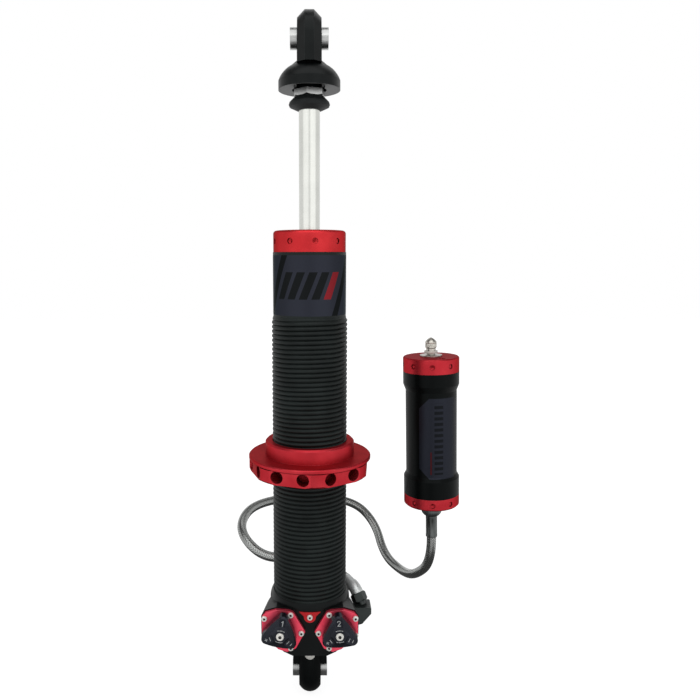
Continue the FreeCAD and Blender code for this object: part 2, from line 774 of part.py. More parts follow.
def rod_guide():
    """Guide that closes the pressure tube and carries bush and seal."""
    guide = lathe([(0, guide_bottom), (pressure_tube_radius - pressure_tube_wall - seat_gap, guide_bottom),
                   (pressure_tube_radius - pressure_tube_wall - seat_gap, guide_shoulder),
                   (tube_bore - seat_gap, guide_shoulder), (tube_bore - seat_gap, guide_top), (0, guide_top)])
    guide = guide.cut(bore(rod_radius + free_gap, guide_bottom, guide_top))
    guide = guide.cut(cylinder(rod_radius + bush_wall + seat_gap, guide_bottom, guide_bottom + bush_height))
    guide = guide.cut(cylinder(seal_radius + seat_gap, guide_top - seal_height, guide_top))
    groove_low = (guide_top + guide_shoulder - o_ring_section) / 2
    return guide.cut(tube(tube_bore + 1, tube_bore - o_ring_section, groove_low, groove_low + o_ring_section))


def guide_ring():
    """O-ring about the rod guide."""
    section = o_ring_section / 2
    middle = (guide_top + guide_shoulder) / 2
    return Part.makeTorus(tube_bore - section, section - seat_gap, Vector(0, 0, middle), Z_AXIS)


def rod_bush():
    """Plain bush that the rod slides in."""
    bush_top = guide_bottom + bush_height - seat_gap
    return tube(rod_radius + bush_wall, rod_radius + running_gap, guide_bottom, bush_top)


def rod_seal():
    """Oil seal above the bush."""
    return tube(seal_radius, rod_radius + running_gap, guide_top - seal_height + seat_gap, guide_top)


# Rod and piston


def piston_rod():
    """Polished rod with a stud at each end."""
    rod = cylinder(rod_radius, rod_shoulder, jam_nut_bottom)
    upper = cylinder(stud_radius, jam_nut_bottom, jam_nut_bottom + stud_length)
    lower = cylinder(lower_stud_radius, piston_nut_top - piston_nut_height, rod_shoulder)
    return rod.fuse([upper, lower]).removeSplitter()


def stack_washer():
    """Backing washer between the rod's shoulder and the shims."""
    return tube(washer_radius, lower_stud_radius + seat_gap, rod_shoulder - washer_height, rod_shoulder)


def shims(top, step):
    """A stack of valve shims, each one narrower by a step from the piston outwards."""
    discs = []
    for index in range(shim_count):
        high = top - index * shim_height
        place = index if step > 0 else shim_count - 1 - index
        radius = shim_radius - abs(step) * place
        discs.append(tube(radius, lower_stud_radius + seat_gap, high - shim_height, high))
    return Part.makeCompound(discs)


def piston():
    """Ported piston with a groove for its band."""
    body = tube(piston_radius, lower_stud_radius + seat_gap, piston_bottom, piston_top)
    middle = (piston_top + piston_bottom) / 2
    body = body.cut(tube(piston_radius + 1, piston_radius - piston_groove,
                         middle - piston_band_height / 2, middle + piston_band_height / 2))
    for port in range(port_count):
        angle = math.radians(360 * port / port_count)
        foot = Vector(port_circle * math.cos(angle), port_circle * math.sin(angle), 0)
        body = body.cut(bore(port_radius, piston_bottom, piston_top, foot))
    return body


def piston_band():
    """Low-friction band about the piston."""
    middle = (piston_top + piston_bottom) / 2
    half = piston_band_height / 2 - seat_gap
    outer = pressure_tube_radius - pressure_tube_wall - running_gap
    return tube(outer, piston_radius - piston_groove + seat_gap, middle - half, middle + half)


def piston_nut():
    """Nut that clamps the piston's stack on the rod."""
    low = piston_nut_top - piston_nut_height
    nut = hexagon(piston_nut_flats, low, piston_nut_top)
    return nut.cut(bore(lower_stud_radius + seat_gap, low, piston_nut_top))


def rebound_stop():
    """Sleeve that meets the rod guide when the shock is fully out."""
    return tube(stop_sleeve_radius, rod_radius + seat_gap, rod_shoulder, stop_sleeve_top)


def bump_stop():
    """Rubber bump stop under the jam nut."""
    bump = lathe([(0, bump_bottom), (bump_foot_radius, bump_bottom),
                  (bump_radius - bump_edge, bump_bottom + bump_foot_height),
                  (bump_radius, bump_bottom + bump_belly_height),
                  (bump_radius - bump_edge, bump_bottom + bump_brow_height),
                  (bump_top_radius, jam_nut_bottom), (0, jam_nut_bottom)])
    return bump.cut(bore(rod_radius + seat_gap, bump_bottom, jam_nut_bottom))


def jam_nut():
    """Nut that locks the upper eye on the rod."""
    nut = hexagon(jam_nut_flats, jam_nut_bottom, jam_nut_top, jam_nut_turn)
    cone = Part.makeCone(jam_nut_flats / 2, jam_nut_flats / 2 + 2 * jam_nut_height, jam_nut_height,
                         Vector(0, 0, jam_nut_bottom), Z_AXIS)
    nut = nut.common(cone)
    return nut.cut(bore(stud_radius + seat_gap, jam_nut_bottom, jam_nut_top))


def upper_eye():
    """Upper eye and its bell in one piece."""
    rim_top = bell_rim_z + bell_rim_height
    waist = rim_top + bell_waist_height
    crest = (bell_radius - bell_crest_inset, rim_top + bell_crest_height)
    bell = lathe([(0, bell_rim_z), (bell_radius, bell_rim_z), (bell_radius, rim_top, crest),
                  (bell_waist_radius, waist), (bell_neck_radius, bell_rim_z + bell_height),
                  (0, bell_rim_z + bell_height)])
    crown = {"flat": upper_eye_flat, "drop": upper_eye_chamfer}
    lug = raised(eye_lug(upper_eye_width, crown, upper_eye_z - waist, False), upper_eye_z)
    body = bell.fuse(lug)
    body = body.cut(raised(bearing_bore(upper_eye_width), upper_eye_z))
    pocket_half = jam_nut_flats / 2 + pocket_clearance
    pocket_reach = bell_radius - pocket_rim
    pocket = Part.makeBox(2 * pocket_half, pocket_reach + pocket_half, pocket_depth,
                          Vector(-pocket_half, -pocket_reach, bell_rim_z))
    pocket_top = bell_rim_z + pocket_depth
    pocket = pocket.common(cylinder(pocket_reach, bell_rim_z, pocket_top))
    round_pocket = cylinder(jam_nut_flats / math.sqrt(3) + pocket_clearance, bell_rim_z, pocket_top)
    boss = cylinder(pocket_boss_radius, jam_nut_top, pocket_top)
    body = body.cut(pocket.fuse(round_pocket).cut(boss))
    stud_hole = cylinder(stud_radius + seat_gap, bell_rim_z, jam_nut_bottom + stud_length + stud_hole_spare)
    body = body.cut(stud_hole)
    return body.removeSplitter()


# Spring adjuster nut


def adjuster_nut():
    """Red adjuster nut: spring collar, thin full rim, seven flats below it and two spanner holes per flat."""
    rim_bottom = nut_flange_top - nut_rim_height
    apothem = nut_flange_radius - nut_flat_depth
    corner = apothem / math.cos(math.pi / nut_flats)
    points = []
    for side in range(nut_flats + 1):
        angle = math.radians(nut_turn - 90 + 360 * side / nut_flats)
        points.append(Vector(corner * math.cos(angle), corner * math.sin(angle), nut_flange_bottom))
    flats = Part.Face(Part.makePolygon(points)).extrude(Vector(0, 0, rim_bottom - nut_flange_bottom))
    lower = flats.common(lathe([(0, nut_flange_bottom), (nut_flange_radius - nut_chamfer, nut_flange_bottom),
                                (nut_flange_radius, nut_flange_bottom + nut_chamfer),
                                (nut_flange_radius, rim_bottom), (0, rim_bottom)]))
    upper = lathe([(0, rim_bottom), (nut_flange_radius - nut_rim_edge, rim_bottom),
                   (nut_flange_radius, rim_bottom + nut_rim_edge),
                   (nut_flange_radius, nut_flange_top - nut_rim_edge),
                   (nut_flange_radius - nut_rim_edge, nut_flange_top), (nut_collar_radius, nut_flange_top),
                   (nut_collar_radius, nut_top - nut_chamfer), (nut_collar_radius - nut_chamfer, nut_top),
                   (0, nut_top)])
    nut = lower.fuse(upper)
    nut = nut.cut(bore(thread_radius + nut_bore_gap, nut_flange_bottom, nut_top))
    nut = nut.cut(Part.makeCone(thread_radius + nut_bore_bevel, thread_radius, nut_bore_bevel,
                                Vector(0, 0, nut_flange_bottom), Z_AXIS))
    holes = 2 * nut_flats
    for hole in range(holes):
        angle = math.radians(nut_turn - 90 + 360 * (hole + 0.5) / holes)
        inwards = Vector(-math.cos(angle), -math.sin(angle), 0)
        start = Vector(0, 0, nut_flange_top - spanner_drop) - inwards * (nut_flange_radius + 1)
        nut = nut.cut(bar(spanner_radius, start, inwards, spanner_depth + 1))
    return nut.removeSplitter()


# Reservoir


def reservoir_tube():
    """Gas reservoir's tube with its two thicker ends."""
    low = reservoir_bottom + bottom_cap_height
    shell = lathe([(reservoir_bore, low), (reservoir_end_radius, low),
                   (reservoir_end_radius, lower_band_top),
                   (reservoir_tube_radius, lower_band_top + lower_band_chamfer),
                   (reservoir_tube_radius, upper_band_bottom - upper_band_chamfer),
                   (reservoir_end_radius, upper_band_bottom), (reservoir_end_radius, tube_joint_z),
                   (reservoir_bore, tube_joint_z)], reservoir_axis)
    return shell


def reservoir_top_cap():
    """Red cap with the fill valve's hole and one pin-spanner hole."""
    low = tube_joint_z - reservoir_spigot
    cap = lathe([(0, low), (reservoir_bore - seat_gap, low), (reservoir_bore - seat_gap, tube_joint_z),
                 (reservoir_end_radius, tube_joint_z),
                 (reservoir_end_radius, reservoir_top - reservoir_cap_edge),
                 (reservoir_end_radius - reservoir_cap_edge, reservoir_top), (0, reservoir_top)],
                reservoir_axis)
    dimple_height = tube_joint_z + top_cap_height / 2
    cap = cap.cut(dimples(reservoir_end_radius, dimple_height, reservoir_dimple_turn, reservoir_axis))
    cap = cap.cut(bore(fill_neck_radius + seat_gap, low, reservoir_top, reservoir_axis))
    pin_hole = reservoir_axis + Vector(spanner_hole_x, spanner_hole_y, 0)
    return cap.cut(cylinder(spanner_hole_radius, reservoir_top - spanner_hole_depth, reservoir_top, pin_hole))


def reservoir_bottom_cap():
    """Red cap with the hose's port."""
    joint = reservoir_bottom + bottom_cap_height
    spigot_top = joint + reservoir_spigot
    spigot = reservoir_bore - seat_gap
    cap = lathe([(0, reservoir_bottom), (reservoir_end_radius - reservoir_cap_edge, reservoir_bottom),
                 (reservoir_end_radius, reservoir_bottom + reservoir_cap_edge), (reservoir_end_radius, joint),
                 (spigot, joint), (spigot, spigot_top), (0, spigot_top)], reservoir_axis)
    dimple_height = reservoir_bottom + bottom_cap_height / 2
    cap = cap.cut(dimples(reservoir_end_radius, dimple_height, reservoir_dimple_turn, reservoir_axis))
    return cap.cut(bore(hose_port_radius, reservoir_bottom, spigot_top, reservoir_axis))


def floating_piston():
    """Piston between the oil below and the gas above."""
    radius = reservoir_bore - 2 * running_gap
    top = float_bottom + float_height
    body = cylinder(radius, float_bottom, top, reservoir_axis)
    body = body.cut(cylinder(radius - float_wall, top - float_cup, top, reservoir_axis))
    groove_low = float_bottom + float_groove_place
    return body.cut(tube(radius + 1, radius - o_ring_section, groove_low, groove_low + o_ring_section,
                         reservoir_axis))


def floating_piston_ring():
    """O-ring of the floating piston."""
    section = o_ring_section / 2
    centre = reservoir_axis + Vector(0, 0, float_bottom + float_groove_place + section)
    major = reservoir_bore - 2 * running_gap - section
    return Part.makeTorus(major, section - seat_gap, centre, Z_AXIS)


def fill_washer():
    """Sealing washer under the fill valve."""
    washer_top = reservoir_top + fill_washer_height
    return tube(fill_washer_radius, fill_neck_radius + seat_gap, reservoir_top, washer_top, reservoir_axis)


def fill_valve():
    """Gas fill valve with its hexagon foot."""
    foot_low = reservoir_top + fill_washer_height + fill_base_height
    foot_top = foot_low + fill_foot_height
    low = tube_joint_z - reservoir_spigot
    valve_top = fill_cap_z + fill_valve_reach
    valve = cylinder(fill_neck_radius, low, valve_top)
    valve = valve.fuse([cylinder(fill_base_radius, foot_low - fill_base_height, foot_low),
                        hexagon(fill_foot_flats, foot_low, foot_top),
                        cylinder(fill_collar_radius, foot_top, fill_cap_z - free_gap)])
    valve = valve.cut(bore(fill_bore, low, valve_top))
    valve.translate(reservoir_axis)
    return valve.removeSplitter()


def fill_valve_cap():
    """Metal dust cap of the fill valve."""
    top = fill_cap_z + fill_cap_height
    brow = (fill_cap_brow[0], fill_cap_z + fill_cap_brow[1])
    cap = lathe([(0, fill_cap_z), (fill_cap_radius, fill_cap_z),
                 (fill_cap_radius, fill_cap_z + fill_cap_wall, brow), (fill_cap_tip, top), (0, top)],
                reservoir_axis)
    return cap.cut(cylinder(fill_neck_radius + running_gap, fill_cap_z, fill_cap_z + fill_cap_depth,
                            reservoir_axis))


# Hose and fittings


def hose_path():
    """The hose's centre line: straight runs joined by tangent arcs, and its length and bend radii."""
    points = [Vector(*corner) for corner in hose_route]
    edges = []
    radii = []
    place = points[0]
    for before, corner, after in zip(points, points[1:], points[2:]):
        arriving = corner - before
        leaving = after - corner
        turn = arriving.getAngle(leaving)
        radius = hose_corner_share * min(arriving.Length, leaving.Length) / math.tan(turn / 2)
        trim = radius * math.tan(turn / 2)
        arriving.normalize()
        leaving.normalize()
        start = corner - arriving * trim
        end = corner + leaving * trim
        inwards = leaving - arriving
        inwards.normalize()
        middle = corner + inwards * (radius / math.cos(turn / 2) - radius)
        edges.append(Part.LineSegment(place, start).toShape())
        edges.append(Part.Arc(start, middle, end).toShape())
        radii.append(radius)
        place = end
    edges.append(Part.LineSegment(place, points[-1]).toShape())
    return Part.Wire(edges), radii


def hose():
    """Braided hose as a solid tube of its real length."""
    path, radii = hose_path()
    start = Vector(*hose_route[0])
    direction = Vector(*hose_route[1]) - start
    section = Part.Wire(Part.makeCircle(hose_radius, start, direction))
    solid = path.makePipeShell([section], True, True)
    print("hose length %.1f mm, volume %.1f of %.1f" % (
        path.Length, solid.Volume, math.pi * hose_radius ** 2 * path.Length))
    print("hose bend radii", [round(radius, 1) for radius in radii])
    return solid


def hose_axis():
    """The hose end's direction at the block, from the fitting towards the hose."""
    direction = Vector(*hose_route[1]) - Vector(*hose_route[0])
    direction.normalize()
    return direction


def swivel_axis():
    """The swivel nut's direction, from the elbow up to the bent neck."""
    direction = Vector(*swivel_direction)
    direction.normalize()
    return direction


def bend_corner():
    """Where the lines of the swivel nut and of the hose's end meet, in the bent neck."""
    return Vector(*hose_route[0]) - hose_axis() * (crimp_length + bend_tangent)


def nut_end():
    """The swivel nut's upper end, where the bent neck starts."""
    return bend_corner() - swivel_axis() * bend_tangent


def nut_foot():
    """The swivel nut's lower end, on the elbow."""
    return nut_end() - swivel_axis() * swivel_length


def hose_socket():
    """Hose end at the block: a crimped socket, and a bent neck whose tail stands in the swivel nut."""
    crimp_start = Vector(*hose_route[0]) - hose_axis() * crimp_length
    crimp = bar(crimp_radius, crimp_start, hose_axis(), crimp_length)
    turn = swivel_axis().getAngle(hose_axis())
    inwards = hose_axis() - swivel_axis()
    inwards.normalize()
    arc_radius = bend_tangent / math.tan(turn / 2)
    middle = bend_corner() + inwards * (arc_radius / math.cos(turn / 2) - arc_radius)
    path = Part.Wire([Part.Arc(nut_end(), middle, crimp_start).toShape()])
    section = Part.Wire(Part.makeCircle(bend_radius, nut_end(), swivel_axis()))
    neck = path.makePipeShell([section], True, True)
    tail = bar(stub_radius, nut_end() - swivel_axis() * (swivel_length / 2), swivel_axis(), swivel_length / 2)
    return crimp.fuse([neck, tail]).removeSplitter()


def swivel_nut():
    """Swivel nut between elbow and bent neck, chamfered at both ends."""
    nut = hexagon(swivel_flats, 0, swivel_length)
    corner = swivel_flats / math.sqrt(3)
    nut = nut.common(lathe([(0, 0), (corner - swivel_chamfer, 0), (corner, swivel_chamfer),
                            (corner, swivel_length - swivel_chamfer),
                            (corner - swivel_chamfer, swivel_length), (0, swivel_length)]))
    nut = nut.cut(bore(stub_radius + seat_gap, 0, swivel_length))
    return along(nut, nut_foot(), swivel_axis())


def hose_elbow():
    """Elbow fitting in the side of the block, with a slanted seat and a stub for the swivel nut."""
    outline = [(elbow_left, elbow_bottom), (elbow_left + elbow_toe, elbow_toe_z),
               (elbow_right, elbow_shoulder), (elbow_right, elbow_top - elbow_edge),
               (elbow_right - elbow_edge, elbow_top), (elbow_left, elbow_top)]
    body = extrude_front(outline, elbow_front, elbow_back)
    seat_radius = swivel_flats / math.sqrt(3) + free_gap
    body = body.cut(bar(seat_radius, nut_foot(), swivel_axis(), 2 * swivel_length))
    stub_start = nut_foot() - swivel_axis() * stub_length
    stub = bar(stub_radius, stub_start, swivel_axis(), stub_length + swivel_length / 2)
    return body.fuse(stub).removeSplitter()


def reservoir_ferrule():
    """Crimped ferrule at the reservoir's end of the hose."""
    return cylinder(ferrule_radius, hose_route[-1][2], ferrule_top, reservoir_axis)


def reservoir_tailpiece():
    """Domed nut that holds the hose to the reservoir's bottom cap."""
    return lathe([(0, ferrule_top), (tailpiece_waist, ferrule_top),
                  (tailpiece_waist, ferrule_top + tailpiece_foot,
                   (tailpiece_radius - tailpiece_dome_inset, ferrule_top + tailpiece_dome_height)),
                  (tailpiece_radius, reservoir_bottom - tailpiece_collar),
                  (tailpiece_radius, reservoir_bottom), (0, reservoir_bottom)], reservoir_axis)


def leaned(shape):
    """A piece of the reservoir, turned about the end of the hose by the reservoir's lean."""
    moved = shape.copy()
    moved.rotate(Vector(*hose_route[-1]), Y_AXIS, -reservoir_lean)
    return moved


pieces = {
    "base_body": base_body(),
    "lower_bearing_race": bearing_race(),
    "lower_bearing_ball": bearing_ball(),
    "lower_bearing_spacers": bearing_spacers(),
    "lower_retaining_rings": retaining_rings(),
    "center_plug": center_plug(),
    "center_plug_screw": center_plug_screw(),
    "bleed_screw": bleed_screw(),
    "shock_tube": shock_tube(),
    "pressure_tube": pressure_tube(),
    "top_cap": top_cap(),
    "rod_wiper": rod_wiper(),
    "rod_guide": rod_guide(),
    "rod_guide_ring": guide_ring(),
    "rod_bush": rod_bush(),
    "rod_seal": rod_seal(),
    "piston_rod": piston_rod(),
    "stack_washer": stack_washer(),
    "rebound_shims": shims(rod_shoulder - washer_height, -shim_step),
    "piston": piston(),
    "piston_band": piston_band(),
    "compression_shims": shims(piston_bottom, shim_step),
    "piston_nut": piston_nut(),
    "rebound_stop": rebound_stop(),
    "bump_stop": bump_stop(),
    "jam_nut": jam_nut(),
    "upper_eye": upper_eye(),
    "upper_bearing_race": raised(bearing_race(), upper_eye_z),
    "upper_bearing_ball": raised(bearing_ball(), upper_eye_z),
    "upper_bearing_spacers": raised(bearing_spacers(), upper_eye_z),
    "upper_retaining_rings": raised(retaining_rings(), upper_eye_z),
    "adjuster_nut": adjuster_nut(),
    "reservoir_tube": leaned(reservoir_tube()),
    "reservoir_top_cap": leaned(reservoir_top_cap()),
    "reservoir_bottom_cap": leaned(reservoir_bottom_cap()),
    "floating_piston": leaned(floating_piston()),
    "floating_piston_ring": leaned(floating_piston_ring()),
    "fill_washer": leaned(fill_washer()),
    "fill_valve": leaned(fill_valve()),
    "fill_valve_cap": leaned(fill_valve_cap()),
    "hose": hose(),
    "hose_socket": hose_socket(),
    "swivel_nut": swivel_nut(),
    "hose_elbow": hose_elbow(),
    "reservoir_ferrule": leaned(reservoir_ferrule()),
    "reservoir_tailpiece": leaned(reservoir_tailpiece()),
}
for name, side, turn in (("rebound", -1, rebound_knob_turn), ("compression", 1, compression_knob_turn)):
    pieces[name + "_plate"] = module_plate(side)
    pieces[name + "_plate_screws"] = module_screws(side)
    pieces[name + "_cartridge"] = valve_cartridge(side)
    pieces[name + "_cartridge_ring"] = cartridge_ring(side)
    pieces[name + "_stem"] = valve_stem(side)
    pieces[name + "_knob"] = knob(side, turn)
    pieces[name + "_knob_screw"] = knob_screw(side)

os.makedirs("parts", exist_ok=True)
for node, shape in pieces.items():
    for solid in shape.Solids:
        if not solid.isValid() or solid.Volume <= 0:
            print("check", node, solid.isValid(), solid.Volume)
    shape.exportStep("parts/" + node + ".step")
print(len(pieces), "pieces,", sum(len(shape.Solids) for shape in pieces.values()), "solids")
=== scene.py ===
import math

import bmesh
import bpy
from mathutils import Matrix, Vector


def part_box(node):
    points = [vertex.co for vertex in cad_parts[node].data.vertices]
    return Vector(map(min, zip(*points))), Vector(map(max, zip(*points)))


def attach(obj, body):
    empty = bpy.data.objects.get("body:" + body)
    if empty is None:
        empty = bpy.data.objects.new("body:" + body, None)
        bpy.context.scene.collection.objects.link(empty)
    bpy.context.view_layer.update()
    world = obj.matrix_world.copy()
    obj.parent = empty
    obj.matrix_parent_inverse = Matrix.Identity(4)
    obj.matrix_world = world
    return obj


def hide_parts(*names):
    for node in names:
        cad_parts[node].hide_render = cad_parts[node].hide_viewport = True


# A coilover damper with a remote reservoir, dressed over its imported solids. Lengths are metres in the
# frame of those solids: the origin is the middle of the lower eye, +Z runs up the shock, the knobs face
# -Y and the reservoir stands at +X. A solid that has the real form keeps it and gets its finish here.

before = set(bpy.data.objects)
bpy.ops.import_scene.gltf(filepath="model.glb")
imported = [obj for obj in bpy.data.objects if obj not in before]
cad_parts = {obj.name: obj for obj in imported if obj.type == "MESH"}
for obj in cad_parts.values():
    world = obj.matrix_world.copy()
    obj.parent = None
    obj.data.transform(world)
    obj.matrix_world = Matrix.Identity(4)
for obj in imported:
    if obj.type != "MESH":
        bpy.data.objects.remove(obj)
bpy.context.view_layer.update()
scene = bpy.context.scene
MM = 0.001

# Camera
# A 35 mm lens level with the upper part of the body, looking slightly down and held a touch askew.
# The shift puts the shock left of the middle, where the photograph has it.

camera_tilt = 7.8            # degrees, downwards
camera_roll = -0.06
camera_data = bpy.data.cameras.new("camera")
camera_data.lens = 35.0
camera_data.sensor_width = 36.0
camera_data.shift_x = 0.0577
camera_data.clip_start = 0.01
camera = bpy.data.objects.new("camera", camera_data)
camera.location = (0.0, -0.475, 0.3043)
camera.rotation_euler = (Matrix.Rotation(math.radians(90.0 - camera_tilt), 3, "X") @
                         Matrix.Rotation(math.radians(camera_roll), 3, "Z")).to_euler()
scene.collection.objects.link(camera)
scene.camera = camera
scene.view_settings.view_transform = "Standard"

# Braided hose
# Stainless wire braid on a smooth bore hose, 7.6 mm over the braid, on the route of the model's tube.
# The braid is wound on by twelve carriers each way, each of five wires, over two and under two. The
# wires are drawn a little thicker than real ones, which are too fine to show.

hose_radius = 3.8 * MM
hose_route = [(0.0274, 0.0188, 0.06), (0.0159, 0.033, 0.0657), (-0.007, 0.0405, 0.0696),
              (-0.0356, 0.041, 0.0648), (-0.0575, 0.056, 0.0801), (-0.0554, 0.084, 0.0884),
              (-0.0367, 0.1105, 0.0887), (-0.0005, 0.134, 0.0831), (0.0418, 0.149, 0.0739),
              (0.0622, 0.1415, 0.0545), (0.0678, 0.116, 0.0342), (0.0815, 0.0925, 0.0293),
              (0.0886, 0.0663, 0.0389), (0.099576, 0.053, 0.057), (0.099, 0.053, 0.079)]
braid_lay = 24 * MM          # length of hose in which a carrier goes once round
braid_carriers = 12
carrier_wires = 5
braid_repeat = 4             # crossings before the weave comes round: over two, under two
wire_share = 0.35            # of a carrier's height, for its single wires
wire_height = 0.03 * MM
hose_sides = 40
sharp_angle = 35             # degrees between two faces, from which their edge stays sharp


def linear(code):
    """A colour written as sRGB hex, as the linear values that a shader takes."""
    channels = []
    for start in (0, 2, 4):
        value = int(code[start:start + 2], 16) / 255
        channels.append(value / 12.92 if value <= 0.04045 else ((value + 0.055) / 1.055) ** 2.4)
    return (*channels, 1.0)


def new_material(name):
    """An empty material and its node tree."""
    material = bpy.data.materials.new(name)
    material.use_nodes = True
    material.node_tree.nodes.clear()
    return material, material.node_tree


def add_node(tree, kind, settings=None, inputs=None):
    """Add a shader node. Each input, by name or number, gets a value, or is linked to an output or to a
    node's first output."""
    node = tree.nodes.new(kind)
    for key, value in (settings or {}).items():
        setattr(node, key, value)
    for key, value in (inputs or {}).items():
        if isinstance(value, bpy.types.Node):
            value = value.outputs[0]
        if isinstance(value, bpy.types.NodeSocket):
            tree.links.new(value, node.inputs[key])
        else:
            node.inputs[key].default_value = value
    return node


def show(tree, shader):
    """Link the last shader of a material to its output."""
    add_node(tree, "ShaderNodeOutputMaterial", inputs={"Surface": shader})


def mesh_of(name, build):
    """A mesh from a bmesh, its faces turned outwards."""
    bmesh.ops.recalc_face_normals(build, faces=build.faces)
    mesh = bpy.data.meshes.new(name)
    build.to_mesh(mesh)
    build.free()
    return mesh


def add_piece(name, mesh, material, body):
    """A piece of the object that rides on a body."""
    mesh.materials.append(material)
    for polygon in mesh.polygons:
        polygon.use_smooth = True
    mesh.set_sharp_from_angle(angle=math.radians(sharp_angle))
    piece = bpy.data.objects.new(name, mesh)
    scene.collection.objects.link(piece)
    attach(piece, body)
    return piece


def hose_line():
    """Points along the smooth curve that has the hose's route as its control points."""
    data = bpy.data.curves.new("hose_line", "CURVE")
    data.dimensions = "3D"
    data.resolution_u = 24
    spline = data.splines.new("NURBS")
    spline.points.add(len(hose_route) - 1)
    for point, corner in zip(spline.points, hose_route):
        point.co = (*corner, 1.0)
    spline.order_u = 3
    spline.use_endpoint_u = True
    line = bpy.data.objects.new("hose_line", data)
    points = [vertex.co.copy() for vertex in bpy.data.meshes.new_from_object(line).vertices]
    bpy.data.objects.remove(line)
    return points


def hose_mesh(points, travelled):
    """A round tube along the points, with the length travelled and the turn as its UVs."""
    build = bmesh.new()
    uv_layer = build.loops.layers.uv.new("along")
    across = (points[1] - points[0]).orthogonal().normalized()
    rows = []
    for index, point in enumerate(points):
        ahead = points[min(index + 1, len(points) - 1)] - points[max(index - 1, 0)]
        ahead.normalize()
        across = (across - ahead * across.dot(ahead)).normalized()
        other = ahead.cross(across)
        row = []
        for side in range(hose_sides):
            angle = math.tau * side / hose_sides
            row.append(build.verts.new(point + hose_radius * (math.cos(angle) * across +
                                                              math.sin(angle) * other)))
        rows.append(row)
    for start in range(len(rows) - 1):
        for side in range(hose_sides):
            after = (side + 1) % hose_sides
            face = build.faces.new((rows[start][side], rows[start][after],
                                    rows[start + 1][after], rows[start + 1][side]))
            corners = ((start, side), (start, side + 1), (start + 1, side + 1), (start + 1, side))
            for loop, (along, around) in zip(face.loops, corners):
                loop[uv_layer].uv = (travelled[along], around / hose_sides)
    build.faces.new(list(reversed(rows[0])))
    build.faces.new(rows[-1])
    return mesh_of("braided_hose", build)


def woven_steel():
    """Woven stainless wire, its colour darker the lower the weave: painted shade between the carriers
    and down the sides of the wires, bright on the crowns.
    """
    material, tree = new_material("woven stainless wire")
    uv = add_node(tree, "ShaderNodeUVMap", {"uv_map": "along"})
    place = add_node(tree, "ShaderNodeSeparateXYZ", inputs={0: uv})
    turns = add_node(tree, "ShaderNodeMath", {"operation": "DIVIDE"}, {0: place.outputs["X"], 1: braid_lay})
    cells = []
    heights = []
    for winding in ("ADD", "SUBTRACT"):
        phase = add_node(tree, "ShaderNodeMath", {"operation": winding},
                         {0: place.outputs["Y"], 1: turns})
        carrier = add_node(tree, "ShaderNodeMath", {"operation": "MULTIPLY"},
                           {0: phase, 1: braid_carriers})
        cells.append(add_node(tree, "ShaderNodeMath", {"operation": "FLOOR"}, {0: carrier}))
        waves = []
        for count in (1, carrier_wires):
            turn = add_node(tree, "ShaderNodeMath", {"operation": "MULTIPLY"},
                            {0: carrier, 1: math.pi * count})
            wave = add_node(tree, "ShaderNodeMath", {"operation": "SINE"}, {0: turn})
            waves.append(add_node(tree, "ShaderNodeMath", {"operation": "ABSOLUTE"}, {0: wave}))
        wires = add_node(tree, "ShaderNodeMath", {"operation": "MULTIPLY_ADD"},
                         {0: waves[1], 1: wire_share, 2: 1 - wire_share})
        heights.append(add_node(tree, "ShaderNodeMath", {"operation": "MULTIPLY"},
                                {0: waves[0], 1: wires}))
    crossing = add_node(tree, "ShaderNodeMath", {"operation": "ADD"},
                        {0: cells[0], 1: cells[1]})
    step = add_node(tree, "ShaderNodeMath", {"operation": "FLOORED_MODULO"}, {0: crossing, 1: braid_repeat})
    over = add_node(tree, "ShaderNodeMath", {"operation": "LESS_THAN"},
                    {0: step, 1: (braid_repeat - 1) / 2})
    weave = add_node(tree, "ShaderNodeMix", {"data_type": "FLOAT"},
                     {0: over, 2: heights[0], 3: heights[1]})
    # Painted shade: the colour darkens with the weave's depth, between carriers and down the wires' sides.
    colour = add_node(tree, "ShaderNodeMix", {"data_type": "RGBA"},
                      {0: weave, 6: linear("161717"), 7: linear("aeb0ae")})
    bump = add_node(tree, "ShaderNodeBump", inputs={
        "Strength": 1.0, "Distance": wire_height, "Height": weave})
    shader = add_node(tree, "ShaderNodeBsdfPrincipled", inputs={
        "Base Color": colour.outputs[2], "Metallic": 1.0, "Roughness": 0.2, "Normal": bump})
    show(tree, shader)
    return material


hose_points = hose_line()
hose_travel = [0.0]
for before, after in zip(hose_points, hose_points[1:]):
    hose_travel.append(hose_travel[-1] + (after - before).length)
braided_hose = add_piece("braided_hose", hose_mesh(hose_points, hose_travel), woven_steel(), "body")
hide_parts("hose")

# Crimped ferrule at the reservoir
# Satin stainless sleeve pressed onto the hose by a die of eight jaws, which leaves eight flats between
# ridges, with a plain collar at each end.

ferrule_radius = 4.6 * MM
ferrule_length = 18.4 * MM
ferrule_edge = 0.5 * MM
lower_collar = 2.4 * MM
upper_collar = 3.0 * MM
crimp_jaws = 8
crimp_depth = 0.34 * MM
crimp_run = 0.6 * MM         # along the ferrule, from a collar to the full depth
tone_drift = 15 * MM         # width of the patches in which a finish drifts in tone
rough_spread = (-0.04, 0.06)     # least and most that the grain adds to the roughness
lathe_depth = 0.006 * MM
lathe_drift = 4.0            # patches to the metre, in which turning marks change round the piece
painted_shade_reach = 8 * MM          # how near walls must be for a spot to take the painted shade


def ring(height, radius, depth=0.0, count=1, sides=96):
    """A ring of points about the upright axis, drawn in by depth at the middle of each of count flats."""
    points = []
    for side in range(sides):
        angle = math.tau * side / sides
        flat = math.cos(angle * count / 2) ** 2
        points.append(Vector(((radius - depth * flat) * math.cos(angle),
                              (radius - depth * flat) * math.sin(angle), height)))
    return points


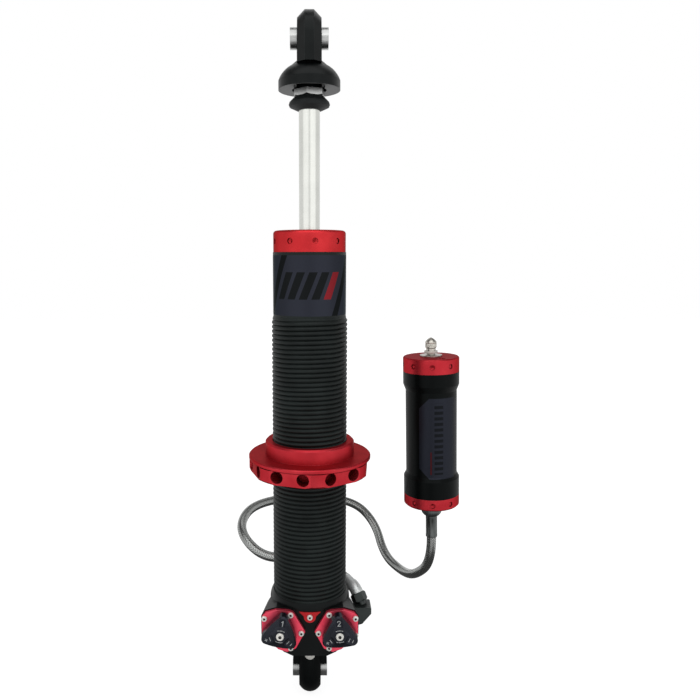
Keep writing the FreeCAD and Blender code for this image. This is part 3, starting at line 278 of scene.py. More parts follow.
def add_rings(build, rings, place=Matrix(), second=None, hollow=False):
    """Join closed rings of equally many points, and close both ends with a face.

    From the ring numbered second on, the faces take the piece's second material. In a hollow piece the
    last ring is joined to the first one, and there are no end faces."""
    rows = [[build.verts.new(place @ point) for point in points] for points in rings]
    if hollow:
        rows.append(rows[0])
    else:
        build.faces.new(list(reversed(rows[0])))
    for number, (low, high) in enumerate(zip(rows, rows[1:])):
        for index in range(len(low)):
            after = (index + 1) % len(low)
            face = build.faces.new((low[index], low[after], high[after], high[index]))
            face.material_index = int(second is not None and number >= second)
    if not hollow:
        end = build.faces.new(rows[-1])
        end.material_index = int(second is not None)


def standing(origin, direction):
    """Where an upright shape goes when it is laid along a direction from an origin."""
    return Matrix.Translation(origin) @ Vector(direction).to_track_quat("Z", "Y").to_matrix().to_4x4()


def metal_surface(name, shades, roughness, metallic=1.0, grain=0.5, depth=0.008, lathe=0.0, worn=None,
                  edge=0.25, glancing="ffffff", deep=None):
    """A metal finish whose edges catch the light. Sizes are in mm.

    shades are the darker and the lighter tone. grain is the size of the surface's grain and depth its
    height, lathe the spacing of turning marks up the axis, worn the colour that shows where edges are
    rubbed, edge the radius of the broken edges, glancing the tint of what a dyed surface reflects at a
    glancing angle, and deep the colour of the painted shade in holes and corners, where walls are near.
    Grain and turning marks are drawn coarser than real ones, which are too fine to show."""
    material, tree = new_material(name)
    place = add_node(tree, "ShaderNodeTexCoord")
    drift = add_node(tree, "ShaderNodeTexNoise", inputs={
        "Vector": place.outputs["Object"], "Scale": 1 / tone_drift, "Detail": 3.0})
    tone = add_node(tree, "ShaderNodeMapRange", inputs={
        "Value": drift.outputs["Fac"], "From Min": 0.35, "From Max": 0.65})
    colour = add_node(tree, "ShaderNodeMix", {"data_type": "RGBA"},
                      {0: tone, 6: linear(shades[0]), 7: linear(shades[1])})
    fine = add_node(tree, "ShaderNodeTexNoise", inputs={
        "Vector": place.outputs["Object"], "Scale": 1 / (grain * MM), "Detail": 5.0})
    rough = add_node(tree, "ShaderNodeMapRange", inputs={
        "Value": fine.outputs["Fac"], "From Min": 0.3, "From Max": 0.7,
        "To Min": roughness + rough_spread[0], "To Max": roughness + rough_spread[1]})
    rounded = add_node(tree, "ShaderNodeBevel", {"samples": 4}, {"Radius": edge * MM})
    bump = add_node(tree, "ShaderNodeBump", inputs={
        "Strength": 1.0, "Distance": depth * MM, "Height": fine.outputs["Fac"],
        "Normal": rounded})
    if lathe:
        squeeze = add_node(tree, "ShaderNodeVectorMath", {"operation": "MULTIPLY"},
                           {0: place.outputs["Object"], 1: (lathe_drift, lathe_drift, 1 / (lathe * MM))})
        marks = add_node(tree, "ShaderNodeTexNoise", inputs={
            "Vector": squeeze, "Scale": 1.0, "Detail": 2.0})
        bump = add_node(tree, "ShaderNodeBump", inputs={
            "Strength": 1.0, "Distance": lathe_depth, "Height": marks.outputs["Fac"],
            "Normal": bump})
    if worn:
        surface = add_node(tree, "ShaderNodeNewGeometry")
        facing = add_node(tree, "ShaderNodeVectorMath", {"operation": "DOT_PRODUCT"},
                          {0: rounded, 1: surface.outputs["Normal"]})
        rubbed = add_node(tree, "ShaderNodeMapRange", inputs={
            "Value": facing.outputs["Value"], "From Min": 0.995, "From Max": 0.90})
        patchy = add_node(tree, "ShaderNodeMapRange", inputs={
            "Value": drift.outputs["Fac"], "From Min": 0.42, "From Max": 0.62, "To Max": 0.8})
        mask = add_node(tree, "ShaderNodeMath", {"operation": "MULTIPLY"},
                        {0: rubbed, 1: patchy})
        colour = add_node(tree, "ShaderNodeMix", {"data_type": "RGBA"},
                          {0: mask, 6: colour.outputs[2], 7: linear(worn)})
    # Painted shade in holes and corners: where occlusion finds near walls, the colour darkens to deep's.
    if deep:
        openness = add_node(tree, "ShaderNodeAmbientOcclusion", {"samples": 8}, {"Distance": painted_shade_reach})
        inside = add_node(tree, "ShaderNodeMapRange", inputs={
            "Value": openness.outputs["AO"], "From Min": 0.45, "From Max": 0.2})
        colour = add_node(tree, "ShaderNodeMix", {"data_type": "RGBA"},
                          {0: inside, 6: colour.outputs[2], 7: linear(deep)})
    shader = add_node(tree, "ShaderNodeBsdfPrincipled", inputs={
        "Base Color": colour.outputs[2], "Metallic": metallic, "Roughness": rough,
        "Specular Tint": linear(glancing), "Normal": bump})
    show(tree, shader)
    return material


# Tumbled stainless: dark grey, with soft wide highlights.
satin_stainless = metal_surface("tumbled stainless steel", ("484b4a", "5a5d5c"), roughness=0.36,
                                depth=0.012)
ferrule_build = bmesh.new()
add_rings(ferrule_build, [
    ring(0.0, ferrule_radius - ferrule_edge), ring(ferrule_edge, ferrule_radius),
    ring(lower_collar, ferrule_radius),
    ring(lower_collar + crimp_run, ferrule_radius, crimp_depth, crimp_jaws),
    ring(ferrule_length - upper_collar - crimp_run, ferrule_radius, crimp_depth, crimp_jaws),
    ring(ferrule_length - upper_collar, ferrule_radius), ring(ferrule_length, ferrule_radius)],
    standing(hose_route[-1], Vector(hose_route[-1]) - Vector(hose_route[-2])))
crimped_ferrule = add_piece("crimped_ferrule", mesh_of("crimped_ferrule", ferrule_build), satin_stainless,
                            "body")
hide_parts("reservoir_ferrule")

# Hose end at the block, and the elbow
# A crimped socket with a bent neck, in blasted stainless, is held on the elbow by its swivel nut. Nut
# and elbow are black anodised.


def dress(material, *nodes):
    """Give solids of the model a finish in every slot."""
    for node in nodes:
        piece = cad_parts[node]
        if not piece.material_slots:
            piece.data.materials.append(material)
        for slot in piece.material_slots:
            slot.material = material


# Blasted stainless: pale and even, without a sharp highlight.
crimped_socket = metal_surface("blasted stainless steel", ("b8bbba", "d0d3d2"), roughness=0.4,
                               metallic=0.65)
dress(crimped_socket, "hose_socket")
# Black anodising on small fittings: a grey black with a tight highlight.
fitting_black = metal_surface("grey-black anodised fitting", ("2a2e2d", "353a39"), roughness=0.32,
                              metallic=0.7, worn="4a4f4f")
dress(fitting_black, "swivel_nut", "hose_elbow")

# Valve block
# Aluminium block machined from billet and black anodised, with the lower eye, the threaded socket for
# the tube and a housing behind each adjuster.

# Black anodising: nearly black with a green cast, and a wide dull highlight.
black_anodised = metal_surface("black anodised aluminium", ("090b0b", "0f1111"), roughness=0.36,
                               metallic=0.2, worn="3a3f3f", glancing="808484")
dress(black_anodised, "base_body")

# Lower bearing
# Ground steel ball in its race, held in the block's eye by two rings of spring steel. A zinc plated
# spacer is pressed into the ball from each side.

# Ground steel: cool grey, and close to a mirror.
bearing_steel = metal_surface("ground bearing steel", ("8f9193", "a9abad"), roughness=0.22)
# Zinc plating: bright neutral grey with a faint drift of tone.
zinc_plate = metal_surface("zinc plated steel", ("a6a7a6", "b5b6b5"), roughness=0.3)
# Black oxide: soft charcoal that dulls the steel below.
black_oxide = metal_surface("black oxide spring steel", ("181818", "262626"), roughness=0.4)
dress(bearing_steel, "lower_bearing_race", "lower_bearing_ball")
dress(zinc_plate, "lower_bearing_spacers")
dress(black_oxide, "lower_retaining_rings")

# Adjuster cartridges
# Aluminium cartridges turned from bar, one in the block behind each knob. Each has a rubber ring as its
# seal and a plated steel needle stem, which its knob turns.

# Clear turned aluminium: pale, with fine rings that spread each highlight along the axis.
clear_turned = metal_surface("clear turned aluminium", ("a2a5a4", "bdbfbd"), roughness=0.3, lathe=0.3)
rubber_bloom = 4 * MM        # width of its grey patches
rubber_grain = 0.4 * MM
rubber_grain_height = 0.02 * MM


def moulded_rubber():
    """Moulded nitrile rubber: matt black with a faint grey bloom."""
    material, tree = new_material("moulded nitrile rubber")
    place = add_node(tree, "ShaderNodeTexCoord")
    bloom = add_node(tree, "ShaderNodeTexNoise", inputs={
        "Vector": place.outputs["Object"], "Scale": 1 / rubber_bloom, "Detail": 5.0})
    colour = add_node(tree, "ShaderNodeMix", {"data_type": "RGBA"},
                      {0: bloom.outputs["Fac"], 6: linear("0e1010"), 7: linear("181b1b")})
    grain = add_node(tree, "ShaderNodeTexNoise", inputs={
        "Vector": place.outputs["Object"], "Scale": 1 / rubber_grain, "Detail": 3.0})
    bump = add_node(tree, "ShaderNodeBump", inputs={
        "Strength": 1.0, "Distance": rubber_grain_height, "Height": grain.outputs["Fac"]})
    shader = add_node(tree, "ShaderNodeBsdfPrincipled", inputs={
        "Base Color": colour.outputs[2], "Roughness": 0.6, "Specular IOR Level": 0.2,
        "Normal": bump})
    show(tree, shader)
    return material


rubber = moulded_rubber()
for module in ("rebound", "compression"):
    dress(clear_turned, module + "_cartridge")
    dress(rubber, module + "_cartridge_ring")
    dress(zinc_plate, module + "_stem")

# Module plates
# Aluminium plates milled to the outline of the two housings and anodised red. Each closes its housing
# and is held on by five screws.

# Bright-dipped before it was dyed: a clear, slightly pink red, livelier than the turned red pieces.
bright_red = metal_surface("bright red anodised plate", ("e04258", "ee546a"), roughness=0.34, metallic=0.8,
                           worn="e88088", glancing="c08088")
dress(bright_red, "rebound_plate", "compression_plate")

# Socket screws
# Zinc plated cap screws with a ridged head and a hexagon socket: five in each plate, and one each in
# the middle plug, the lower lug and the knobs.

socket_share = 0.45          # of the head's radius
socket_depth_share = 0.7     # of the head's height
head_ridges = 24
ridge_share = 0.05           # depth of a ridge, of the head's radius
head_chamfer_share = 0.16
screw_sides = 48
socket_ring = 5              # the ring at the rim of the socket, from which its walls and floor take the painted shade
weld_distance = 0.005 * MM
plate_screw = (2.0 * MM, 1.4 * MM, 1.5 * MM)     # radius and height of the head, radius of the shank
knob_screw = (2.8 * MM, 1.0 * MM, 1.3 * MM)


def screw_seats(node):
    """The separate screws in a solid of the model, from left to right: axis and front as a point, and
    length."""
    build = bmesh.new()
    build.from_mesh(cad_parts[node].data)
    bmesh.ops.remove_doubles(build, verts=build.verts, dist=weld_distance)
    left = set(build.verts)
    seats = []
    while left:
        todo = [left.pop()]
        found = []
        while todo:
            vertex = todo.pop()
            found.append(vertex.co.copy())
            for edge in vertex.link_edges:
                other = edge.other_vert(vertex)
                if other in left:
                    left.remove(other)
                    todo.append(other)
        low = [min(point[axis] for point in found) for axis in range(3)]
        high = [max(point[axis] for point in found) for axis in range(3)]
        seats.append((Vector(((low[0] + high[0]) / 2, low[1], (low[2] + high[2]) / 2)), high[1] - low[1]))
    build.free()
    return sorted(seats, key=lambda seat: tuple(seat[0]))


def hexagon_ring(height, radius):
    """A hexagonal ring with as many points as the screw's round rings."""
    points = []
    for side in range(screw_sides):
        angle = math.tau * side / screw_sides
        within = angle % (math.pi / 3) - math.pi / 6
        reach = radius * math.cos(math.pi / 6) / math.cos(within)
        points.append(Vector((reach * math.cos(angle), reach * math.sin(angle), height)))
    return points


def socket_screws(name, node, head_radius, head_height, shank_radius, body):
    """Socket screws in place of a node's plain ones, facing -Y."""
    chamfer = head_chamfer_share * head_radius
    socket = socket_share * head_radius
    ridge = ridge_share * head_radius
    build = bmesh.new()
    for seat, length in screw_seats(node):
        add_rings(build, [
            ring(-length, shank_radius, sides=screw_sides),
            ring(-head_height, shank_radius, sides=screw_sides),
            ring(-head_height, head_radius, ridge, head_ridges, screw_sides),
            ring(-chamfer, head_radius, ridge, head_ridges, screw_sides),
            ring(0.0, head_radius - chamfer, sides=screw_sides),
            hexagon_ring(0.0, socket),
            hexagon_ring(-socket_depth_share * head_height, socket)],
            standing(seat, (0, -1, 0)), second=socket_ring)
    screws = add_piece(name, mesh_of(name, build), screw_steel, body)
    # The socket's walls and floor take the painted shade as the second material.
    screws.data.materials.append(socket_shade)
    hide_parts(node)


# Bright zinc plating on a small head: nearly white, with a soft sheen.
screw_steel = metal_surface("bright zinc plated screw", ("d0cec8", "e4e2dc"), roughness=0.45, metallic=0.6,
                            edge=0.12)
# Painted shade down in the socket: its walls and floor a dark, dull grey.
socket_shade = metal_surface("painted shade in a screw socket", ("3c3b39", "4a4947"), roughness=0.5, edge=0.05)
for name, node, sizes, body in (
        ("rebound_plate_caps", "rebound_plate_screws", plate_screw, "body"),
        ("compression_plate_caps", "compression_plate_screws", plate_screw, "body"),
        ("plug_cap_screw", "center_plug_screw", plate_screw, "body"),
        ("rebound_knob_cap_screw", "rebound_knob_screw", knob_screw, "rebound_adjuster"),
        ("compression_knob_cap_screw", "compression_knob_screw", knob_screw, "compression_adjuster")):
    socket_screws(name, node, *sizes, body)
dress(screw_steel, "bleed_screw")

# Adjuster knobs
# Three-lobed knobs milled from bar and black anodised. Each lobe has a sunk pad with a white mark, laser
# engraved: a plain number on top, plus and minus below, and short lines beside the screw.

engraved_line = 0.42 * MM    # width of the marks' lines
digit_height = 3.3 * MM
digit_radius = 8.9 * MM      # from the knob's axis to the middle of its number
sign_height = 1.7 * MM
sign_radius = 10.0 * MM
bar_length = 2.4 * MM
bar_radius = 7.3 * MM
arc_length = 4.6 * MM
arc_radius = 4.3 * MM
mark_lift = 0.04 * MM        # over the knob's surface
mark_thickness = 0.1 * MM    # most of it lies in the knob
mark_step = 0.4 * MM         # between two points of a mark's line
look_from = 20 * MM          # in front of a knob, from where its surface is looked for
engraving_speckle = 0.3 * MM
knob_turns = {"rebound": -11.5, "compression": 4.0}      # degrees from the upright to a knob's top lobe
# The strokes of each mark, in shares of its size.
glyphs = {
    "1": [[(-0.22, 0.28), (0.06, 0.5), (0.06, -0.5)]],
    "2": [[(-0.3, 0.26), (-0.22, 0.44), (0.0, 0.5), (0.22, 0.42), (0.3, 0.22), (0.2, 0.0),
           (-0.3, -0.5), (0.32, -0.5)]],
    "plus": [[(-0.5, 0.0), (0.5, 0.0)], [(0.0, 0.5), (0.0, -0.5)]],
    "minus": [[(-0.5, 0.0), (0.5, 0.0)]],
    "bar": [[(-0.5, 0.0), (0.5, 0.0)]],
    "arc": [[(-0.5, -0.09), (-0.25, -0.02), (0.0, 0.0), (0.25, -0.02), (0.5, -0.09)]]}


def add_mark(build, knob, centre, glyph, size, radius, turn):
    """Draw a glyph on a knob as thin ribbons, laid on its surface by rays from the front."""
    out = Matrix.Rotation(math.radians(turn), 2)
    for stroke in glyphs[glyph]:
        corners = [out @ (Vector(corner) * size + Vector((0.0, radius))) for corner in stroke]
        for start, end in zip(corners, corners[1:]):
            along = (end - start).normalized() * engraved_line / 2
            side = Vector((-along.y, along.x))
            steps = max(1, math.ceil((end - start).length / mark_step))
            before = None
            for step in range(steps + 1):
                middle = (start - along).lerp(end + along, step / steps)
                pair = []
                for point in (middle - side, middle + side):
                    origin = Vector((centre.x + point.x, centre.y - look_from, centre.z + point.y))
                    place, normal = knob.ray_cast(origin, (0, 1, 0))[1:3]
                    pair.append(build.verts.new(place + normal * mark_lift))
                if before:
                    build.faces.new((before[0], before[1], pair[1], pair[0]))
                before = pair


def sort_by_place(elements, place):
    """Put the points or faces of a bmesh in the order of their places, so that each run is the same."""
    order = sorted(elements, key=lambda element: tuple(place(element)))
    numbers = {element: number for number, element in enumerate(order)}
    elements.sort(key=numbers.get)


def engraved_white():
    """Bare aluminium under an engraving laser: off-white and matt, uneven at the line's width."""
    material, tree = new_material("laser engraved aluminium")
    place = add_node(tree, "ShaderNodeTexCoord")
    speckle = add_node(tree, "ShaderNodeTexNoise", inputs={
        "Vector": place.outputs["Object"], "Scale": 1 / engraving_speckle, "Detail": 3.0})
    colour = add_node(tree, "ShaderNodeMix", {"data_type": "RGBA"},
                      {0: speckle.outputs["Fac"], 6: linear("8f9191"), 7: linear("c4c6c5")})
    shader = add_node(tree, "ShaderNodeBsdfPrincipled", inputs={
        "Base Color": colour.outputs[2], "Roughness": 0.7})
    show(tree, shader)
    return material


engraving = engraved_white()
# Polished before it was anodised: a blue-black with a tighter highlight than the block's.
knob_black = metal_surface("polished black anodised aluminium", ("1b1c22", "23252d"), roughness=0.26,
                           metallic=0.6, worn="4a4d55", glancing="c0c4c8")
for module, number in (("rebound", "1"), ("compression", "2")):
    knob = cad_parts[module + "_knob"]
    low, high = (Vector(corner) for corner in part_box(module + "_knob_screw"))
    centre = Vector(((low.x + high.x) / 2, low.y, (low.z + high.z) / 2))
    build = bmesh.new()
    turn = knob_turns[module]
    add_mark(build, knob, centre, number, digit_height, digit_radius, turn)
    for lobe, sign in ((120, "plus"), (240, "minus")):
        add_mark(build, knob, centre, sign, sign_height, sign_radius, turn + lobe)
        add_mark(build, knob, centre, "bar", bar_length, bar_radius, turn + lobe)
    for side in (0, 180):
        add_mark(build, knob, centre, "arc", arc_length, arc_radius, turn + side)
    build.normal_update()
    for face in build.faces:
        if face.normal.y > 0:
            face.normal_flip()
    build.normal_update()
    # From faces that look forwards, the marks are thickened into the knob.
    bmesh.ops.solidify(build, geom=build.faces[:], thickness=mark_thickness)
    sort_by_place(build.verts, lambda vertex: vertex.co)
    sort_by_place(build.faces, lambda face: face.calc_center_median())
    add_piece(module + "_knob_marks", mesh_of(module + "_knob_marks", build), engraving,
              module + "_adjuster")
    dress(knob_black, module + "_knob")

# Middle plug
# Small aluminium cover, milled and red anodised, which closes the block between the two adjusters. One
# screw holds it down.

# Satin red anodising: deep and even, its highlight spread by faint turning marks, pale on rubbed edges.
# Painted shade darkens its dimples, holes and corners to the colour given as deep.
satin_red = metal_surface("satin red anodised aluminium", ("b0282c", "be3034"), roughness=0.38,
                          metallic=0.85, lathe=0.25, worn="d8565c", glancing="907070", deep="1c0506")
dress(satin_red, "center_plug")

# Body tube
# Black anodised aluminium tube with a plain bore, a rolled thread of eight turns to the inch outside and
# a smooth upper end. The solid has ring grooves, and this has the real helix with rounded crests, which
# runs out at both ends.

thread_radius = 26.5 * MM
thread_depth = 1.15 * MM
thread_pitch = 3.175 * MM
thread_bottom = 57.5 * MM
thread_top = 263.5 * MM
tube_radius = 25.3 * MM
tube_top = 307.4 * MM
tube_bore = 22.25 * MM
thread_sides = 128
thread_steps = 8             # points along the axis in each turn
crest_power = 0.7            # under one rounds the crests
weld_limit = 1e-7


def thread_mesh():
    """A tube with a helical thread of rounded crests outside, and a plain bore."""
    build = bmesh.new()
    turns = math.ceil((thread_top - thread_bottom) / thread_pitch) + 1
    columns = []
    for side in range(thread_sides):
        share = side / thread_sides
        angle = math.tau * share
        column = []
        for step in range(turns * thread_steps + 1):
            height = thread_bottom + (step / thread_steps + share - 1.0) * thread_pitch
            height = min(max(height, thread_bottom), thread_top)
            crest = abs(math.cos(math.pi * step / thread_steps)) ** crest_power
            runout = min(1.0, (height - thread_bottom) / thread_pitch, (thread_top - height) / thread_pitch)
            radius = thread_radius - thread_depth * (1.0 - crest * runout)
            column.append(build.verts.new((radius * math.cos(angle), radius * math.sin(angle), height)))
        columns.append(column)
    for side in range(thread_sides):
        low = columns[side]
        high = columns[(side + 1) % thread_sides]
        shift = thread_steps if side == thread_sides - 1 else 0      # the helix gains a turn here
        for step in range(len(low) - 1 - shift):
            build.faces.new((low[step], high[step + shift], high[step + 1 + shift], low[step + 1]))
    bottom = [build.verts.new(point) for point in ring(thread_bottom, tube_bore, sides=thread_sides)]
    top = [build.verts.new(point) for point in ring(thread_top, tube_bore, sides=thread_sides)]
    for side in range(thread_sides):
        after = (side + 1) % thread_sides
        build.faces.new((bottom[side], bottom[after], columns[after][0], columns[side][0]))
        build.faces.new((columns[side][-1], columns[after][-1], top[after], top[side]))
        build.faces.new((bottom[after], bottom[side], top[side], top[after]))
    bmesh.ops.dissolve_degenerate(build, dist=weld_limit, edges=build.edges)
    return mesh_of("threaded_tube", build)


# Hard anodising on the tube: black, a little greener and duller than on the block.
thread_black = metal_surface("hard black anodised tube", ("141817", "1b201f"), roughness=0.44, metallic=0.4,
                             edge=0.15, glancing="a0a4a4")
threaded_tube = add_piece("threaded_tube", thread_mesh(), thread_black, "body")
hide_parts("shock_tube")
tube_build = bmesh.new()
add_rings(tube_build, [ring(thread_top, tube_radius, sides=thread_sides),
                       ring(tube_top, tube_radius, sides=thread_sides),
                       ring(tube_top, tube_bore, sides=thread_sides),
                       ring(thread_top, tube_bore, sides=thread_sides)], hollow=True)
add_piece("smooth_tube", mesh_of("smooth_tube", tube_build), thread_black, "body")

# Wrap on the tube
# A printed film round the smooth end of the tube, in metallic slate ink: three panels between dark
# slanting bands, and on the front one a row of plain slanting bars, the last of them red.

wrap_bottom = 265.0 * MM
wrap_top = 305.4 * MM
wrap_middle = (wrap_bottom + wrap_top) / 2
wrap_lift = 0.06 * MM
panel_pitch = math.tau * tube_radius / 3     # one panel and one band, round the tube
band_share = 0.1             # of the pitch
slant = -0.4                 # of a band and of the bars, against their height
bar_pitch = 8.4 * MM
bar_share = 0.66
bar_half_height = 9.0 * MM
bar_start = -20.5 * MM
bar_end = 20.5 * MM
red_bar_start = bar_start + 4 * bar_pitch
film_ripple = 6 * MM         # width of the waves in which the film lies on the tube
film_ripple_height = 0.02 * MM


def tube_wrap():
    """Slate ink with a metal sheen on a smooth film, its print worked out from place on the tube."""
    material, tree = new_material("printed film on the tube")
    place = add_node(tree, "ShaderNodeTexCoord")
    axes = add_node(tree, "ShaderNodeSeparateXYZ", inputs={0: place.outputs["Object"]})
    front = add_node(tree, "ShaderNodeMath", {"operation": "MULTIPLY"},
                     {0: axes.outputs["Y"], 1: -1.0})
    angle = add_node(tree, "ShaderNodeMath", {"operation": "ARCTAN2"},
                     {0: axes.outputs["X"], 1: front})
    around = add_node(tree, "ShaderNodeMath", {"operation": "MULTIPLY"}, {0: angle, 1: tube_radius})
    height = add_node(tree, "ShaderNodeMath", {"operation": "SUBTRACT"},
                      {0: axes.outputs["Z"], 1: wrap_middle})
    slid = add_node(tree, "ShaderNodeMath", {"operation": "MULTIPLY_ADD"},
                    {0: height, 1: slant, 2: around})
    panels = add_node(tree, "ShaderNodeMath", {"operation": "MULTIPLY_ADD"},
                      {0: slid, 1: 1 / panel_pitch, 2: (1 + band_share) / 2})
    within = add_node(tree, "ShaderNodeMath", {"operation": "FLOORED_MODULO"}, {0: panels, 1: 1.0})
    panel = add_node(tree, "ShaderNodeMath", {"operation": "GREATER_THAN"}, {0: within, 1: band_share})
    ground = add_node(tree, "ShaderNodeMix", {"data_type": "RGBA"},
                      {0: panel, 6: linear("111314"), 7: linear("282a32")})
    from_start = add_node(tree, "ShaderNodeMath", {"operation": "SUBTRACT"}, {0: slid, 1: bar_start})
    bars = add_node(tree, "ShaderNodeMath", {"operation": "DIVIDE"}, {0: from_start, 1: bar_pitch})
    in_bar = add_node(tree, "ShaderNodeMath", {"operation": "FLOORED_MODULO"}, {0: bars, 1: 1.0})
    tests = [
        add_node(tree, "ShaderNodeMath", {"operation": "LESS_THAN"}, {0: in_bar, 1: bar_share}),
        add_node(tree, "ShaderNodeMath", {"operation": "GREATER_THAN"}, {0: slid, 1: bar_start}),
        add_node(tree, "ShaderNodeMath", {"operation": "LESS_THAN"}, {0: slid, 1: bar_end}),
        add_node(tree, "ShaderNodeMath", {"operation": "COMPARE"},
                 {0: height, 1: 0.0, 2: bar_half_height})]
    bar = tests[0]
    for test in tests[1:]:
        bar = add_node(tree, "ShaderNodeMath", {"operation": "MULTIPLY"}, {0: bar, 1: test})
    red = add_node(tree, "ShaderNodeMath", {"operation": "GREATER_THAN"}, {0: slid, 1: red_bar_start})
    ink = add_node(tree, "ShaderNodeMix", {"data_type": "RGBA"},
                   {0: red, 6: linear("141617"), 7: linear("741e24")})
    print_colour = add_node(tree, "ShaderNodeMix", {"data_type": "RGBA"},
                            {0: bar, 6: ground.outputs[2], 7: ink.outputs[2]})
    ripple = add_node(tree, "ShaderNodeTexNoise", inputs={
        "Vector": place.outputs["Object"], "Scale": 1 / film_ripple, "Detail": 2.0})
    bump = add_node(tree, "ShaderNodeBump", inputs={
        "Strength": 1.0, "Distance": film_ripple_height, "Height": ripple.outputs["Fac"]})
    shader = add_node(tree, "ShaderNodeBsdfPrincipled", inputs={
        "Base Color": print_colour.outputs[2], "Metallic": 0.9, "Roughness": 0.42,
        "Specular Tint": linear("b0b4b4"), "Normal": bump})
    show(tree, shader)
    return material


wrap_build = bmesh.new()
add_rings(wrap_build, [ring(wrap_bottom, tube_radius, sides=thread_sides),
                       ring(wrap_bottom, tube_radius + wrap_lift, sides=thread_sides),
                       ring(wrap_top, tube_radius + wrap_lift, sides=thread_sides),
                       ring(wrap_top, tube_radius, sides=thread_sides)], hollow=True)
add_piece("tube_film", mesh_of("tube_film", wrap_build), tube_wrap(), "body")

# Inside the tube
# Steel pressure tube, aluminium rod guide with its bronze bush and rubber seals, and the piston with its
# plastic band and steel shims, clamped on the rod by a nut. Only the wiper can be seen, round the rod.

# Filled bearing plastic: beige, and as dull as wax.
bearing_plastic = metal_surface("filled bearing plastic", ("b9b2a0", "c8c1b0"), roughness=0.5, metallic=0.0)
# Bearing bronze: brown gold, with fine turning marks.
bronze = metal_surface("plain bearing bronze", ("7d5f2e", "97753a"), roughness=0.35, lathe=0.25)
dress(zinc_plate, "pressure_tube", "stack_washer", "rebound_shims", "compression_shims", "piston_nut")
dress(clear_turned, "rod_guide", "piston", "rebound_stop", "floating_piston")
dress(bronze, "rod_bush")
dress(bearing_plastic, "piston_band")
dress(rubber, "rod_wiper", "rod_seal", "rod_guide_ring", "floating_piston_ring")

# Gland cap
# Aluminium cap turned from bar and satin red anodised, which closes the tube and holds the rod guide
# down. It has round dimples for a pin spanner.

dress(satin_red, "top_cap")

# Spring adjuster nut
# Aluminium nut turned from bar and anodised red, on the body's thread. It has the spring's collar, a
# flange, seven milled flats and fourteen drilled spanner holes.

# Deep red anodising: bluer and darker than the gland cap's red, with the same soft sheen.
# Painted shade darkens its spanner holes and corners to the colour given as deep.
deep_red = metal_surface("deep red anodised aluminium", ("a6262e", "b42f37"), roughness=0.4, metallic=0.85,
                         lathe=0.25, worn="c4545c", glancing="907074", deep="1c0506")
dress(deep_red, "adjuster_nut")

# Rod and bump stop
# Steel rod, ground, hard chromed and polished, that carries the piston, and a moulded rubber bump stop
# pushed on below the bell.

# Polished hard chrome: mirrors its surroundings, a little blurred along the rod.
rod_chrome = metal_surface("polished hard chrome", ("c8c9c4", "cfd0cb"), roughness=0.22, depth=0.003,
                           grain=0.8, lathe=0.6)
dress(rod_chrome, "piston_rod")
dress(rubber, "bump_stop")

# Upper eye
# Eye and bell forged in one piece, machined and black anodised, screwed on the rod and locked by a zinc
# plated jam nut. Its bearing is like the lower one.

dress(black_anodised, "upper_eye")
dress(zinc_plate, "jam_nut", "upper_bearing_spacers")
dress(bearing_steel, "upper_bearing_race", "upper_bearing_ball")
dress(black_oxide, "upper_retaining_rings")

# Reservoir
# Black anodised tube with two thicker ends, between red screwed caps, on a domed hose connection. Its
# waist carries a printed slate panel with clipped ends and plain marks: a scale and a red line.

reservoir_lean = 1.5         # degrees, towards the shock at the top
reservoir_foot = Vector(hose_route[-1])
reservoir_tube_radius = 19.95 * MM
panel_left = -13.0 * MM      # round the waist, from the front
panel_right = 25.0 * MM
panel_bottom = 54.5 * MM     # up the reservoir's axis, from the end of the hose
panel_top = 118.0 * MM
panel_clip = 8.0 * MM
scale_pitch = 4.4 * MM
scale_share = 0.55
scale_left = -1.0 * MM
scale_right = 6.0 * MM
scale_end = 3.5 * MM         # from the panel's ends
red_line_left = -4.2 * MM
red_line_right = -3.0 * MM
red_line_end = 42.0 * MM     # from the panel's top
reservoir_edge = 0.3 * MM
reservoir_grain = 0.5 * MM
reservoir_grain_height = 0.008 * MM


